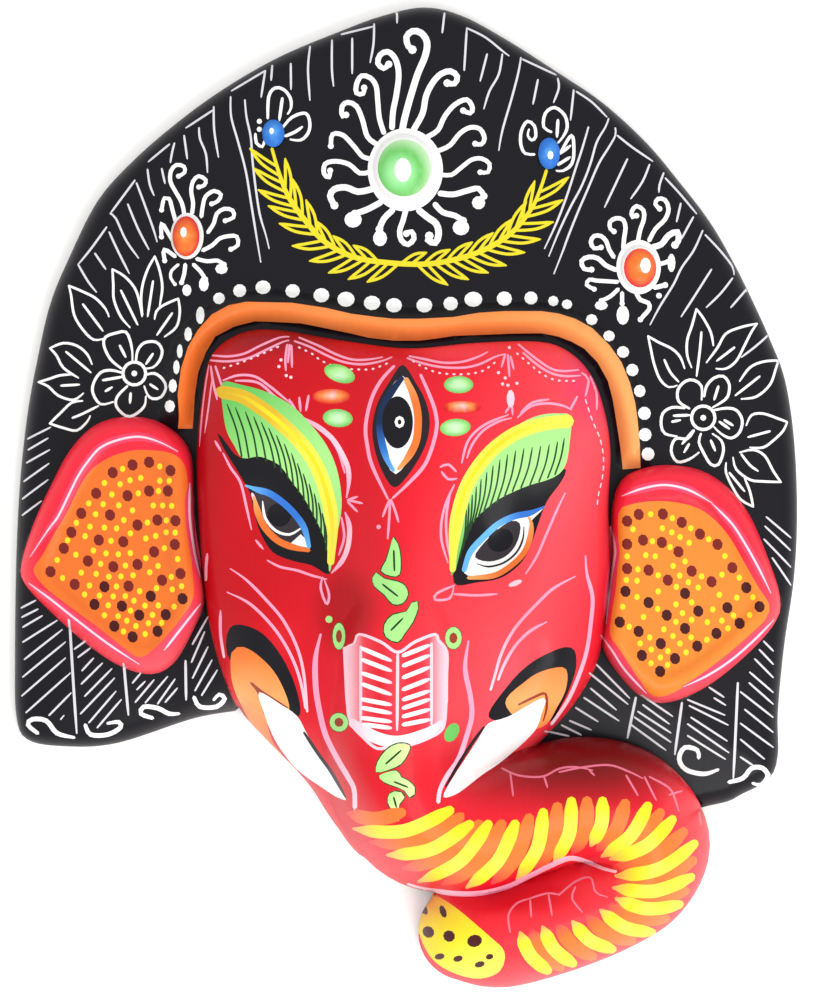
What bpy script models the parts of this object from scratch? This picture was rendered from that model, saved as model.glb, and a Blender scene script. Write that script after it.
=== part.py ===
"""Ganesha mask: a hollow papier-mâché shell, painted, lying on its back.

The mask is one moulded piece: a fan-shaped crown with a headband, an elephant's face with two
ears, two tusks and a curled trunk, and five domed bosses on the crown. Its front is a relief
that stands over the plan outline, with no undercut, as it comes off its mould. Its back is the
same form one wall's thickness deeper, and ends in a flat rim that the mask lies on.

+Z is towards the viewer, +Y is up the face, and the origin is at the middle of the underside.
"""
import math

import bmesh
import bpy
import numpy as np
from mathutils import Vector
from mathutils.geometry import delaunay_2d_cdt

# Overall size, in metres. The outlines below are drawn in millimetres for a mask of DRAWN_HEIGHT.
MASK_HEIGHT = 0.2962
DRAWN_HEIGHT = 296.2
DRAWN_MIDDLE = (-0.6, 0.8)
SCALE = MASK_HEIGHT / DRAWN_HEIGHT

# Shell
WALL = 0.004
RIM_LIP = 0.003
RIM_LAND = 0.0035
ROUND_OVER_SHARE = 0.5
ROUND_OVER_LEAST = 0.004
ROUND_OVER_MOST = 0.018

# Heights above the plane that the rim rests on
CROWN_EDGE_HEIGHT = 0.009
CROWN_INNER_HEIGHT = 0.021
CROWN_CURVE = 0.8
FACE_SIDE_HEIGHT = 0.024
FACE_HEIGHT = 0.040
FACE_SHOULDER = 0.026
TRUNK_FOOT_HEIGHT = 0.021
EAR_OUTER_THICKNESS = 0.0075
EAR_INNER_THICKNESS = 0.0125
EAR_SHOULDER = 0.006
EAR_DISH = 0.002
EAR_RIM_WIDTH = 0.006
EAR_RIM_SLOPE = 0.004
HEADBAND_THICKNESS = 0.005
HEADBAND_WIDTH = 0.011
HEADBAND_GAP = 0.0075
HEADBAND_FADE = 0.006
TUSK_RISE = 0.0018
TUSK_HALF_WIDTH = 0.006
TIP_SLOPE = 0.55
TIP_REACH = 0.030
TRUNK_FULLNESS = 2.2
BOSS_FULLNESS = 0.55
FACE_FILLET = 0.002
TRUNK_FILLET = 0.005

# Faceting: the spread of points, how close they may come as shares of it, and the rings of
# points beside each step in the form, as distances inside it, or outside where negative
FRONT_STEP = 0.0051
BACK_STEP = 0.0070
OUTLINE_STEP = 0.0050
CLOSE_SHARE = 0.44
FIELD_SHARE = 0.72
TIP_SIDES = 11
BOSS_SHARE = 0.28
BOSS_RINGS = (0.0, 0.6, 1.08)
BIG_BOSS_RINGS = (0.0, 0.5, 0.85, 1.08)
BIG_BOSS = 7
RIM_RINGS = (0.0022, 0.0060, 0.0115)
EAR_RINGS = (-0.0006, 0.0022, 0.0085)
FACE_RINGS = (-0.0006, 0.0022, 0.0062, -HEADBAND_GAP, -0.0042, -0.0112)
TRUNK_RINGS = (-0.0006, 0.0022, 0.0062)

# Plan of the crown, clockwise from its top
CROWN_OUTLINE = (
    (4.5, 148.6), (16, 146.2), (29.5, 139), (44.7, 129.3), (58.5, 120), (71.7, 108), (81.8, 96),
    (91, 84), (98, 72), (104, 60), (109.4, 48), (113.8, 36), (116.5, 18), (117.4, -4),
    (116.4, -24), (113.5, -44), (111.6, -64), (111.6, -77), (109, -84), (101, -88.6), (92, -92),
    (60, -96), (0, -80), (-45, -62), (-52, -63.6), (-65, -66), (-88, -73.4), (-104, -74.3),
    (-115, -72.2), (-118.2, -65), (-118.6, -48), (-118.2, -18), (-117, 6), (-114.8, 26),
    (-111.9, 42), (-108, 59), (-102.3, 73), (-93.8, 90), (-83.3, 102), (-69.5, 114),
    (-54.9, 124.5), (-38.2, 134), (-19.5, 141.8), (-8, 146),
)
# Plan of the face, clockwise from the middle of the brow
FACE_OUTLINE = (
    (0, 45.4), (20, 47), (39, 47.4), (48, 44.5), (54.5, 38), (58.5, 28), (60.6, 15), (60, -2),
    (60.5, -20), (59, -36), (56.5, -49), (50.5, -60), (42, -70), (22, -90), (0, -106),
    (-12.9, -108), (-22.5, -97), (-30.5, -85), (-42.9, -72), (-50.5, -63.5), (-54.8, -54),
    (-58.5, -42), (-60.5, -30), (-62.5, -10), (-63.3, 12), (-61.8, 30), (-59, 43), (-51, 49.6),
    (-40, 51), (-20, 47.8),
)
LEFT_EAR_OUTLINE = (
    (-85, 24.9), (-76, 23.8), (-69, 19.6), (-65, 13), (-64.3, 0), (-63.6, -14), (-61, -29),
    (-65, -40), (-70.5, -49), (-77, -52.2), (-86, -50), (-96, -43.6), (-108, -33),
    (-115.4, -25), (-116.3, -19), (-112.3, -6.5), (-107.5, 4), (-101.5, 15), (-94, 22.4),
)
RIGHT_EAR_OUTLINE = (
    (78, 10.4), (88, 8.8), (96, 3.8), (102.6, -4.5), (108, -17), (111.8, -29), (110.6, -36.5),
    (102, -46.3), (90, -55.8), (79, -60.5), (71.5, -59.8), (64.5, -53.8), (58.4, -44),
    (59.2, -34), (61, -18), (61.2, -3), (64, 5.8), (70, 9.2),
)
# Trunk, from the bridge of the face to its tip: x, y, half-width and height of the crest
TRUNK_PATH = (
    (-3, -40, 20, 62), (-3.5, -64, 22.5, 64), (-2.5, -83, 22, 61), (5.5, -96.3, 20.9, 56),
    (21.6, -98.8, 19.2, 51.5), (36.6, -93.6, 18.9, 48), (52, -90, 18.9, 45.5),
    (65.5, -93.2, 18.6, 43), (74.4, -103.5, 16.8, 40), (71, -115, 14.8, 37.5),
    (60, -121.3, 15.4, 36), (44.5, -126.2, 16.6, 35), (28, -131.4, 15.7, 34), (17.8, -130.3, 14.7, 32),
)
# Where the trunk's cut tip begins, as two points on its edge
TIP_EDGE = ((10, -117.6), (30, -135.6))
# Rows down the face: y, rise of the ridge that becomes the trunk, and its half-width
RIDGE_X = -2.5
RIDGE_ROWS = ((56, 0, 11), (40, 3, 12), (22, 7, 13), (0, 12, 14), (-20, 17, 15.5), (-42, 21, 18),
              (-66, 22, 20), (-96, 16, 22))
# Soft swellings and hollows of the face: x, y, half-lengths, turn in degrees and rise
FACE_SWELLS = (
    (-37.5, -5, 17, 11, -35, -6),
    (27, -12, 17, 11, 40, -6),
    (-45, -37, 13, 11, 30, 4.5),
    (42, -39, 13, 11, -30, 4.5),
    (-41, 24, 16, 9, -35, 2),
    (35, 18, 16, 9, 35, 2),
)
TUSK_LINES = (
    ((-47, -50), (-39, -63), (-30, -76), (-20, -88)),
    ((44, -50), (34, -63), (24, -75), (12, -86)),
)
# Domed bosses on the crown: x, y, half-width, half-height and rise
BOSSES = (
    (-1.1, 99.6, 9.4, 10.4, 5.0),
    (-66.6, 79.2, 4.6, 6.6, 3.5),
    (69.6, 69.8, 5.8, 6.8, 3.5),
    (-40.5, 110.2, 3.6, 4.4, 2.5),
    (42.4, 104.2, 3.6, 5.0, 2.5),
)
HEADBAND_ENDS = (20, 9)

PAINT_RED = (0.62, 0.03, 0.05)
PAINT_ROUGHNESS = 0.45


def drawn(points):
    """Turns drawn places in millimetres into metres at the mask's own size."""
    middle = np.array(DRAWN_MIDDLE)
    return (np.array(points, dtype=float) - middle) * SCALE


def spline(points, step, closed=True):
    """A smooth curve through the points, with a point about every step."""
    points = np.asarray(points, dtype=float)
    count = len(points)
    spans = count if closed else count - 1
    out = []
    for i in range(spans):
        if closed:
            a, b, c, d = (points[(i + k) % count] for k in (-1, 0, 1, 2))
        else:
            a, b, c, d = (points[min(max(i + k, 0), count - 1)] for k in (-1, 0, 1, 2))
        pieces = max(1, math.ceil(float(np.linalg.norm((c - b)[:2])) / step - 0.25))
        for k in range(pieces):
            t = k / pieces
            out.append(0.5 * (2 * b + (c - a) * t + (2 * a - 5 * b + 4 * c - d) * t ** 2
                              + (3 * b - a - 3 * c + d) * t ** 3))
    if not closed:
        out.append(points[-1])
    return np.array(out)


def line_distance(places, line, closed=True):
    """The distance from each place to the nearest point of a line."""
    starts = line if closed else line[:-1]
    ends = np.roll(line, -1, axis=0) if closed else line[1:]
    best = np.full(len(places), np.inf)
    for start, end in zip(starts, ends):
        along = end - start
        t = np.clip(((places - start) @ along) / max(along @ along, 1e-18), 0, 1)
        gap = places - start - t[:, None] * along
        best = np.minimum(best, np.einsum("ij,ij->i", gap, gap))
    return np.sqrt(best)


def inside(places, loop):
    """Whether each place lies inside a closed line."""
    crossings = np.zeros(len(places), dtype=bool)
    x, y = places[:, 0], places[:, 1]
    for (x0, y0), (x1, y1) in zip(loop, np.roll(loop, -1, axis=0)):
        if y0 == y1:
            continue
        crossings ^= ((y0 > y) != (y1 > y)) & (x < (x1 - x0) * (y - y0) / (y1 - y0) + x0)
    return crossings


def depth_inside(places, loop):
    """The distance to a closed line, positive inside it and negative outside."""
    return np.where(inside(places, loop), 1.0, -1.0) * line_distance(places, loop)


def round_over(share):
    """A quarter round: 0 at the edge, 1 from a share of 1 on."""
    return np.sqrt(np.clip(1 - (1 - np.clip(share, 0, 1)) ** 2, 0, 1))


def ease(share):
    """A smooth step from 0 to 1."""
    share = np.clip(share, 0, 1)
    return share * share * (3 - 2 * share)


def swell(places, x, y, half_x, half_y, turn):
    """A soft round hump with its middle at x, y."""
    cos, sin = math.cos(math.radians(turn)), math.sin(math.radians(turn))
    away = places - drawn((x, y))
    u = (away[:, 0] * cos + away[:, 1] * sin) / (half_x * SCALE)
    v = (away[:, 1] * cos - away[:, 0] * sin) / (half_y * SCALE)
    return np.exp(-(u * u + v * v))


def soft_max(a, b, width):
    """The higher of two heights, with a fillet about as wide as given."""
    share = np.clip(0.5 + 0.5 * (a - b) / width, 0, 1)
    return b + (a - b) * share + width * share * (1 - share)


class MaskForm:
    """The relief: its plan outlines and its height over any place in plan."""

    def __init__(self):
        self.crown = spline(drawn(CROWN_OUTLINE)[::-1], OUTLINE_STEP)
        self.face = spline(drawn(FACE_OUTLINE)[::-1], OUTLINE_STEP)
        ears = (LEFT_EAR_OUTLINE, RIGHT_EAR_OUTLINE)
        self.ears = [spline(drawn(ear)[::-1], OUTLINE_STEP) for ear in ears]
        path = np.array(TRUNK_PATH, dtype=float)
        path = np.column_stack((drawn(path[:, :2]), path[:, 2:] * SCALE))
        self.trunk_path = spline(path, OUTLINE_STEP / 3, closed=False)
        self.trunk = self.trunk_outline()
        self.outline = union_outline((self.crown, self.face, self.trunk))

    def trunk_outline(self):
        """The edge of the trunk in plan: down one side, round the tip and up the other."""
        path = self.trunk_path[::2]
        along = np.gradient(path[:, :2], axis=0)
        along /= np.linalg.norm(along, axis=1)[:, None]
        side = np.column_stack((-along[:, 1], along[:, 0])) * path[:, 2:3]
        start = math.atan2(*side[-1][::-1])
        turns = start - np.linspace(0, math.pi, TIP_SIDES + 1)[1:-1]
        tip = path[-1, :2] + path[-1, 2] * np.column_stack((np.cos(turns), np.sin(turns)))
        loop = np.vstack((path[:, :2] + side, tip, (path[:, :2] - side)[::-1]))
        return tidy_loop(loop[::-1], path)

    def height(self, places):
        """How high the front stands over each place in plan."""
        rim = line_distance(places, self.outline)
        face_depth = depth_inside(places, self.face)
        beside_face = np.maximum(-face_depth, 0)
        inward = rim / np.maximum(rim + beside_face, 1e-9)
        crown = CROWN_EDGE_HEIGHT + (CROWN_INNER_HEIGHT - CROWN_EDGE_HEIGHT) * inward ** CROWN_CURVE
        front = crown + self.headband(places, beside_face)
        front = soft_max(front, self.face_height(places, face_depth), FACE_FILLET)
        for ear in self.ears:
            depth = depth_inside(places, ear)
            thick = EAR_OUTER_THICKNESS + (EAR_INNER_THICKNESS - EAR_OUTER_THICKNESS) * inward ** 2
            pad = crown + thick * round_over(depth / EAR_SHOULDER)
            pad -= EAR_DISH * ease((depth - EAR_RIM_WIDTH) / EAR_RIM_SLOPE)
            front = np.where(depth > 0, np.maximum(front, pad), front)
        front = soft_max(front, self.trunk_height(places), TRUNK_FILLET)
        for x, y, half_x, half_y, rise in BOSSES:
            away = (places - drawn((x, y))) / (np.array((half_x, half_y)) * SCALE)
            front += rise * SCALE * np.clip(1 - np.sum(away ** 2, axis=1), 0, 1) ** BOSS_FULLNESS
        fall = np.clip(front * ROUND_OVER_SHARE, ROUND_OVER_LEAST, ROUND_OVER_MOST)
        return RIM_LIP + (front - RIM_LIP) * round_over(rim / fall)

    def headband(self, places, beside_face):
        """The roll that runs round the brow, from ear to ear."""
        across = (beside_face - HEADBAND_GAP) / (HEADBAND_WIDTH / 2)
        roll = np.clip(1 - across ** 2, 0, 1) ** 1.5
        middle = drawn((0, 0))[0]
        left_end, right_end = (drawn((0, y))[1] for y in HEADBAND_ENDS)
        ends = np.where(places[:, 0] < middle, left_end, right_end)
        return HEADBAND_THICKNESS * roll * ease((places[:, 1] - ends) / HEADBAND_FADE)

    def face_height(self, places, depth):
        """The face: a pillow with a ridge, eye hollows, cheeks and tusks; low outside its edge."""
        rows = np.array(RIDGE_ROWS, dtype=float)[::-1]
        y = places[:, 1]
        row_y = drawn(rows[:, [1, 0]])[:, 1]
        rise = np.interp(y, row_y, rows[:, 1]) * SCALE
        half = np.interp(y, row_y, rows[:, 2]) * SCALE
        across = (places[:, 0] - drawn((RIDGE_X, 0))[0]) / half
        relief = rise * np.exp(-across ** 2)
        for x, swell_y, half_x, half_y, turn, amount in FACE_SWELLS:
            relief += amount * SCALE * swell(places, x, swell_y, half_x, half_y, turn)
        for tusk in TUSK_LINES:
            gap = line_distance(places, spline(drawn(tusk), OUTLINE_STEP, closed=False), closed=False)
            relief += TUSK_RISE * np.exp(-(gap / TUSK_HALF_WIDTH) ** 2)
        pillow = round_over(depth / FACE_SHOULDER)
        height = FACE_SIDE_HEIGHT + (FACE_HEIGHT - FACE_SIDE_HEIGHT + relief) * pillow
        return np.where(depth > 0, height, 0.0)

    def trunk_height(self, places):
        """The trunk: an arched ridge along its path, with a slanting cut at its tip."""
        best = np.zeros(len(places))
        for x, y, half, crest in self.trunk_path:
            away = np.hypot(places[:, 0] - x, places[:, 1] - y) / half
            arch = np.clip(1 - away ** TRUNK_FULLNESS, 0, 1) ** 0.5
            lift = TRUNK_FOOT_HEIGHT + (crest - TRUNK_FOOT_HEIGHT) * arch
            best = np.maximum(best, np.where(away < 1, lift, 0.0))
        start, end = drawn(TIP_EDGE)
        along = (end - start) / np.linalg.norm(end - start)
        beyond = (places[:, 0] - start[0]) * along[1] - (places[:, 1] - start[1]) * along[0]
        near_tip = np.hypot(*(places - (start + end) / 2).T) < TIP_REACH
        return best - TIP_SLOPE * np.where(near_tip, np.clip(beyond, 0, None), 0.0) * (best > 0)

    def back(self, places):
        """The inner face: the front moved in by the wall, and no lower than the rim."""
        inner = np.full(len(places), np.inf)
        for share, count in ((0.0, 1), (0.5, 8), (0.98, 14)):
            reach = share * WALL
            drop = math.sqrt(WALL ** 2 - reach ** 2)
            for k in range(count):
                turn = 2 * math.pi * (k + share) / count
                moved = places + reach * np.array((math.cos(turn), math.sin(turn)))
                front = np.where(inside(moved, self.outline), self.height(moved), 0.0)
                inner = np.minimum(inner, front - drop)
        return np.maximum(inner, 0.0)


def tidy_loop(loop, path):
    """Drops the points of a swept edge that a bend has folded inside the sweep."""
    keep = []
    for place in loop:
        away = np.hypot(path[:, 0] - place[0], path[:, 1] - place[1]) / path[:, 2]
        if away.min() > 0.97:
            keep.append(place)
    return np.array(keep)


def union_outline(loops):
    """The one closed line round several overlapping closed lines, anticlockwise."""
    places, faces = [], []
    for loop in loops:
        faces.append(list(range(len(places), len(places) + len(loop))))
        places.extend(Vector(p) for p in loop)
    verts, _, triangles, _, _, sources = delaunay_2d_cdt(places, [], faces, 1, 1e-7)
    uses = {}
    for triangle, source in zip(triangles, sources):
        if not source:
            continue
        for a, b in zip(triangle, triangle[1:] + triangle[:1]):
            uses.setdefault(frozenset((a, b)), []).append((a, b))
    following = {pair[0][0]: pair[0][1] for pair in uses.values() if len(pair) == 1}
    start = max(following, key=lambda i: verts[i].y)
    order = [start]
    while following[order[-1]] != start:
        order.append(following[order[-1]])
    loop = np.array([verts[i] for i in order])
    spread = [0]
    for i in range(1, len(loop)):
        if np.linalg.norm(loop[i] - loop[spread[-1]]) > OUTLINE_STEP * 0.5:
            spread.append(i)
    return loop[spread]


def ring(loop, reach, step):
    """Points along a closed anticlockwise line, a set distance inside it, or outside if negative."""
    loop = spline(loop, step)
    along = np.roll(loop, -1, axis=0) - np.roll(loop, 1, axis=0)
    along /= np.linalg.norm(along, axis=1)[:, None]
    moved = loop + reach * np.column_stack((-along[:, 1], along[:, 0]))
    return moved[line_distance(moved, loop) > abs(reach) * 0.93]


def hexagon_field(outline, step):
    """Evenly spread points over the whole plan."""
    low, high = outline.min(axis=0), outline.max(axis=0)
    rows = []
    for j, y in enumerate(np.arange(low[1], high[1], step * math.sqrt(0.75))):
        x = np.arange(low[0] + (j % 2) * step / 2, high[0], step)
        rows.append(np.column_stack((x, np.full(len(x), y))))
    field = np.vstack(rows)
    return field[inside(field, outline)]


def spread_out(groups, outline):
    """Takes points group by group, leaving out any too near one already taken."""
    taken = [outline]
    for points, gap in groups:
        points = points[inside(points, outline)]
        points = points[line_distance(points, outline) > gap * 0.75]
        chosen = []
        held = np.vstack(taken)
        for point in points:
            near = np.min(np.einsum("ij,ij->i", held - point, held - point))
            if near > gap * gap and all((point - c) @ (point - c) > gap * gap for c in chosen):
                chosen.append(point)
        if chosen:
            taken.append(np.array(chosen))
    return np.vstack(taken[1:])


def sheet(outline, points):
    """Triangulates the plan: the outline's points come first."""
    places = [Vector(p) for p in outline] + [Vector(p) for p in points]
    face = list(range(len(outline)))
    verts, _, triangles, _, _, _ = delaunay_2d_cdt(places, [], [face], 1, 1e-7)
    return np.array([tuple(v) for v in verts]), triangles


def boss_points():
    """Each boss's middle, shoulder and foot."""
    points = []
    for x, y, half_x, half_y, _ in BOSSES:
        for share in BIG_BOSS_RINGS if half_x > BIG_BOSS else BOSS_RINGS:
            count = max(1, round(math.pi * share * (half_x + half_y) * SCALE / (FRONT_STEP * CLOSE_SHARE)))
            turns = 2 * math.pi * np.arange(count) / count
            points.append(drawn(np.column_stack((x + share * half_x * np.cos(turns),
                                                 y + share * half_y * np.sin(turns)))))
    return np.vstack(points)


def front_points(form):
    """Where the front needs points: its edge, its steps and crests, then the field."""
    step = FRONT_STEP
    close = step * CLOSE_SHARE
    groups = [(ring(form.outline, reach, step), close) for reach in RIM_RINGS]
    groups.append((boss_points(), step * BOSS_SHARE))
    for ear in form.ears:
        groups += [(ring(ear, reach, step * 0.75), close) for reach in EAR_RINGS]
    groups += [(ring(form.face, reach, step * 0.75), close) for reach in FACE_RINGS]
    groups += [(ring(form.trunk, reach, step * 0.75), close) for reach in TRUNK_RINGS]
    groups.append((form.trunk_path[::3, :2], close))
    groups.append((hexagon_field(form.outline, step), step * FIELD_SHARE))
    return spread_out(groups, form.outline)


def back_points(form):
    """Where the back needs points: the rim's inner edge, the inner steps, then the field."""
    step = BACK_STEP
    close = step * CLOSE_SHARE
    groups = [(ring(form.outline, reach, step * 0.75), close) for reach in (RIM_LAND, RIM_LAND + WALL)]
    for loop in (form.face, form.trunk, *form.ears):
        groups += [(ring(loop, reach, step * 0.75), close) for reach in (WALL, 0.2 * WALL)]
    groups.append((form.trunk_path[::4, :2], close))
    groups.append((hexagon_field(form.outline, step), step * FIELD_SHARE))
    return spread_out(groups, form.outline)


def build_shell(form):
    """The closed shell: front and back sheets over one outline, joined by the rim's side."""
    count = len(form.outline)
    shell = bmesh.new()
    sides = []
    for points, is_front in ((front_points(form), True), (back_points(form), False)):
        plan, triangles = sheet(form.outline, points)
        level = form.height(plan) if is_front else form.back(plan)
        level[:count] = RIM_LIP if is_front else 0.0
        verts = [shell.verts.new((x, y, z)) for (x, y), z in zip(plan, level)]
        for triangle in triangles:
            corners = [verts[i] for i in triangle]
            shell.faces.new(corners if is_front else corners[::-1])
        sides.append(verts[:count])
    upper, lower = sides
    for i in range(count):
        j = (i + 1) % count
        shell.faces.new((lower[i], lower[j], upper[j], upper[i]))
    bmesh.ops.triangulate(shell, faces=shell.faces[:])
    bmesh.ops.recalc_face_normals(shell, faces=shell.faces[:])
    return shell


def paint_material():
    """Plain stand-in for the painted finish."""
    material = bpy.data.materials.new("painted_papier_mache")
    material.use_nodes = True
    shader = material.node_tree.nodes["Principled BSDF"]
    shader.inputs["Base Color"].default_value = (*PAINT_RED, 1.0)
    shader.inputs["Roughness"].default_value = PAINT_ROUGHNESS
    shader.inputs["Metallic"].default_value = 0.0
    return material


def build_mask():
    """Makes the mask's object in a collection of its own."""
    shell = build_shell(MaskForm())
    mesh = bpy.data.meshes.new("mask")
    shell.to_mesh(mesh)
    shell.free()
    mesh.materials.append(paint_material())
    mesh.shade_smooth()
    mesh.set_sharp_from_angle(angle=math.radians(50))
    collection = bpy.data.collections.new("ganesha_mask")
    bpy.context.scene.collection.children.link(collection)
    mask = bpy.data.objects.new("mask", mesh)
    collection.objects.link(mask)
    return mask


def main():
    """Clears the scene and models the mask."""
    for old in list(bpy.data.objects):
        bpy.data.objects.remove(old)
    build_mask()


main()
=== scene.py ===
"""Ganesha mask: the painted shell, its floor, lights and camera, laid out as an add-on.

The mask is papier-mâché, moulded as one hollow shell and painted by hand. Its front is a relief
over the plan outline, and the painting is cut into the skin's own triangles, so that each brush
line keeps a clean edge. Drawn places are in millimetres: +X to the viewer's right, +Y up the face.
A painted line or an outline is a row of its x and y in turn.
"""
import math

import bpy
import numpy as np
from bpy.props import FloatProperty, FloatVectorProperty, PointerProperty
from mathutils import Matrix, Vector
from mathutils.geometry import delaunay_2d_cdt
from mathutils.kdtree import KDTree


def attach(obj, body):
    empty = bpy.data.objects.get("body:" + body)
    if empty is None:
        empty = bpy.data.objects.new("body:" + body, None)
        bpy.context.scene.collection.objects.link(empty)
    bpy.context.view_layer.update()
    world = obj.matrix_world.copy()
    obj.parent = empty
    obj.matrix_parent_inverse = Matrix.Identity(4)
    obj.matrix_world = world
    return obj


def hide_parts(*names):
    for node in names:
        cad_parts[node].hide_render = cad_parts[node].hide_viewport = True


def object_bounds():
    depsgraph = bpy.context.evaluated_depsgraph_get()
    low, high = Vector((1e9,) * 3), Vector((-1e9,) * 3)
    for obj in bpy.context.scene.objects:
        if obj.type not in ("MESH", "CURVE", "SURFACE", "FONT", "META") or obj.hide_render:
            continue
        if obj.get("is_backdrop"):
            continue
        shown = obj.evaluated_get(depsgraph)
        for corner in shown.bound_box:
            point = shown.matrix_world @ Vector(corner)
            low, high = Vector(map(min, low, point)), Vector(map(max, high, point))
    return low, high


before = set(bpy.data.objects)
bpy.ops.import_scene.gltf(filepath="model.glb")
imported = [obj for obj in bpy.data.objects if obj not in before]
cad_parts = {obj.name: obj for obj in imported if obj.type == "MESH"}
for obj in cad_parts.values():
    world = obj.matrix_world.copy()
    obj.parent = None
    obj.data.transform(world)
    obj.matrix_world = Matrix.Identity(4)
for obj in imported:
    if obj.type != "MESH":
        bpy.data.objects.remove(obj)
CAD_LOW, CAD_HIGH = (tuple(corner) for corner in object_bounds())

bl_info = {
    "name": "Ganesha Mask",
    "version": (1, 0, 0),
    "blender": (4, 5, 0),
    "location": "View3D > Sidebar > Mask",
    "description": "Builds a painted papier-mâché elephant mask and its studio stage",
    "category": "Object",
}

# Overall size, in metres, of the drawing in millimetres below
DRAWN_HEIGHT = 296.2
DRAWN_MIDDLE = (-0.6, 0.8)

# Shell, in metres
RIM_LIP = 0.003
RIM_LAND = 0.0035
ROUND_OVER_SHARE = 0.5
ROUND_OVER_LEAST = 0.004
ROUND_OVER_MOST = 0.018

# Heights above the plane that the rim rests on
CROWN_EDGE_HEIGHT = 0.009
CROWN_INNER_HEIGHT = 0.021
CROWN_CURVE = 0.8
FACE_SIDE_HEIGHT = 0.024
FACE_HEIGHT = 0.040
FACE_SHOULDER = 0.026
TRUNK_FOOT_HEIGHT = 0.021
EAR_OUTER_THICKNESS = 0.0075
EAR_INNER_THICKNESS = 0.0125
EAR_SHOULDER = 0.006
EAR_DISH = 0.002
EAR_RIM_WIDTH = 0.006
EAR_RIM_SLOPE = 0.004
HEADBAND_THICKNESS = 0.005
HEADBAND_WIDTH = 0.011
HEADBAND_GAP = 0.0075
HEADBAND_FADE = 0.006
HEADBAND_FULLNESS = 1.5
TUSK_RISE = 0.0018
TUSK_HALF_WIDTH = 0.006
TUSK_STEP = 0.005
TIP_SLOPE = 0.55
TIP_REACH = 0.030
TRUNK_FULLNESS = 2.2
BOSS_FULLNESS = 0.55
FACE_FILLET = 0.002
TRUNK_FILLET = 0.005

# Fineness of the skin, in drawn millimetres
OUTLINE_STEP = 2.4
FIELD_STEP = 1.7
BACK_STEP = 3.0
LINE_STEP = 1.3
FIELD_SHARE = 0.62
SLOPE_REACH = 0.12
EDGE_MARGIN = 0.35
STEP_HALF = 0.11
STEP_SEARCH = 1.2
CREASE_SEARCH = 4.0
STEP_RINGS = (-0.9, 0.5, 1.2, 2.4, 4.0)
RIM_RINGS = (0.5, 1.2, 2.4, 4.0)
POINT_GAP = 0.45

# Shares and counts that lay out the skin
STEP_SPACING = 1.3
TRUNK_SPACING = 0.7
TIP_POINTS = 22
TRUNK_KEEP = 0.97
RING_KEEP = 0.93
LAND_KEEP = 0.9
BACK_GAP = 0.001
BACK_STEPS = (0.2, 1.0)
BACK_PROBES = ((0.0, 1), (0.5, 8), (0.98, 14))
CREASE_PROBES = 41
CREASE_SMOOTH = 5
BOSS_RINGS = (0.9, 0.975, 1.0)
SMOOTH_COSINE = 0.72

# Fronds on the crown, in drawn millimetres: for each side, outer then inner, the side's sign, its
# leaves, their first and last share of the stem, their length and its growth, and their spread
FROND_WIDTH = 1.6
FROND_LEAF_WIDTH = 0.9
FROND_SIDES = ((1, 19, 0.08, 0.92, 0.92, 0.14, 0.56), (-1, 13, 0.15, 0.86, 0.7, 0.5, 0.46))
FROND_REACH = 12.0
FROND_NARROWING = 0.1
FROND_LEAF_BOW = 1.1
FROND_LEAF_FOOT = 3.1
FROND_FOOT_BOW = 0.1

# Widths of the painted lines, in drawn millimetres, and shares of the strokes
COMB_WIDTH = 0.65
PANEL_WIDTH = 0.8
CURL_WIDTH = 1.4
PETAL_WIDTH = 0.95
SWAG_WIDTH = 0.7
VEIN_WIDTH = 0.6
HATCH_WIDTH = 0.6
FLOWER_WIDTH = 0.85
LEAF_WIDTH = 0.75
PINK_WIDTH = 0.75
LASH_WIDTH = 0.55
LASHES = 16
LASH_BOW = 0.04
WIDE_END = 0.7
CAP_TURN = 50
TAPER_IN = 0.2
TAPER_OUT = 0.25
FILL_SPACING = 1.5
RAY_BLOB = 0.66
STROKE_BOW = 0.1
DAB_CLEAR = 2.5
DAB_APART = 2.6
DAB_NEIGHBOURS = (5.2, 9.6)
# Share of the way to lemon that the right ear's field is painted lighter, as painted light
EAR_PAINTED_LIGHT = 0.16
EAR_DARK_BELOW = -26

# Stage, in metres and watts
FLOOR_SIZE = 6.0
FLOOR_GAP = 0.0004
KEY_PLACE = (0.75, -1.1, 1.5)
KEY_SIZE = 1.2
SURROUND_STRENGTH = 1.25
SENSOR = 36.0
FOCUS_HEIGHT = 0.02
FRAME_HEIGHT = 0.3
FRAME_MIDDLE = (1.5, 0.0)
FLOOR_COLOUR = (0.97, 0.97, 0.97)
FLOOR_ROUGHNESS = 0.8

# Finish of the paint and of the bare paper: shares, and scales of the patterns
EDGE_VARNISH = 0.6
PAINT_GAIN = 0.65
PAINT_CLOUDS = 0.10
PAINT_BRUSHING = 0.08
GLOSS = 0.30
GLOSS_CLOUDS = 0.16
GLOSS_GRAIN = 0.08
COAT = 0.1
COAT_ROUGHNESS = 0.2
SPECULAR = 0.1
PAPER_DARK = (0.33, 0.27, 0.20, 1.0)
PAPER_LIGHT = (0.50, 0.44, 0.36, 1.0)
PAPER_ROUGHNESS = 0.86
CLOUD_SCALE = 28.0
GRAIN_SCALE = 420.0
FIBRE_SCALE = 130.0
BRUSH_SCALE = 3.0
BRUSH_STRETCH = (260.0, 60.0, 60.0)
BUMP_STRENGTH = 0.35
BUMP_DEPTH = 0.0012

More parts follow.
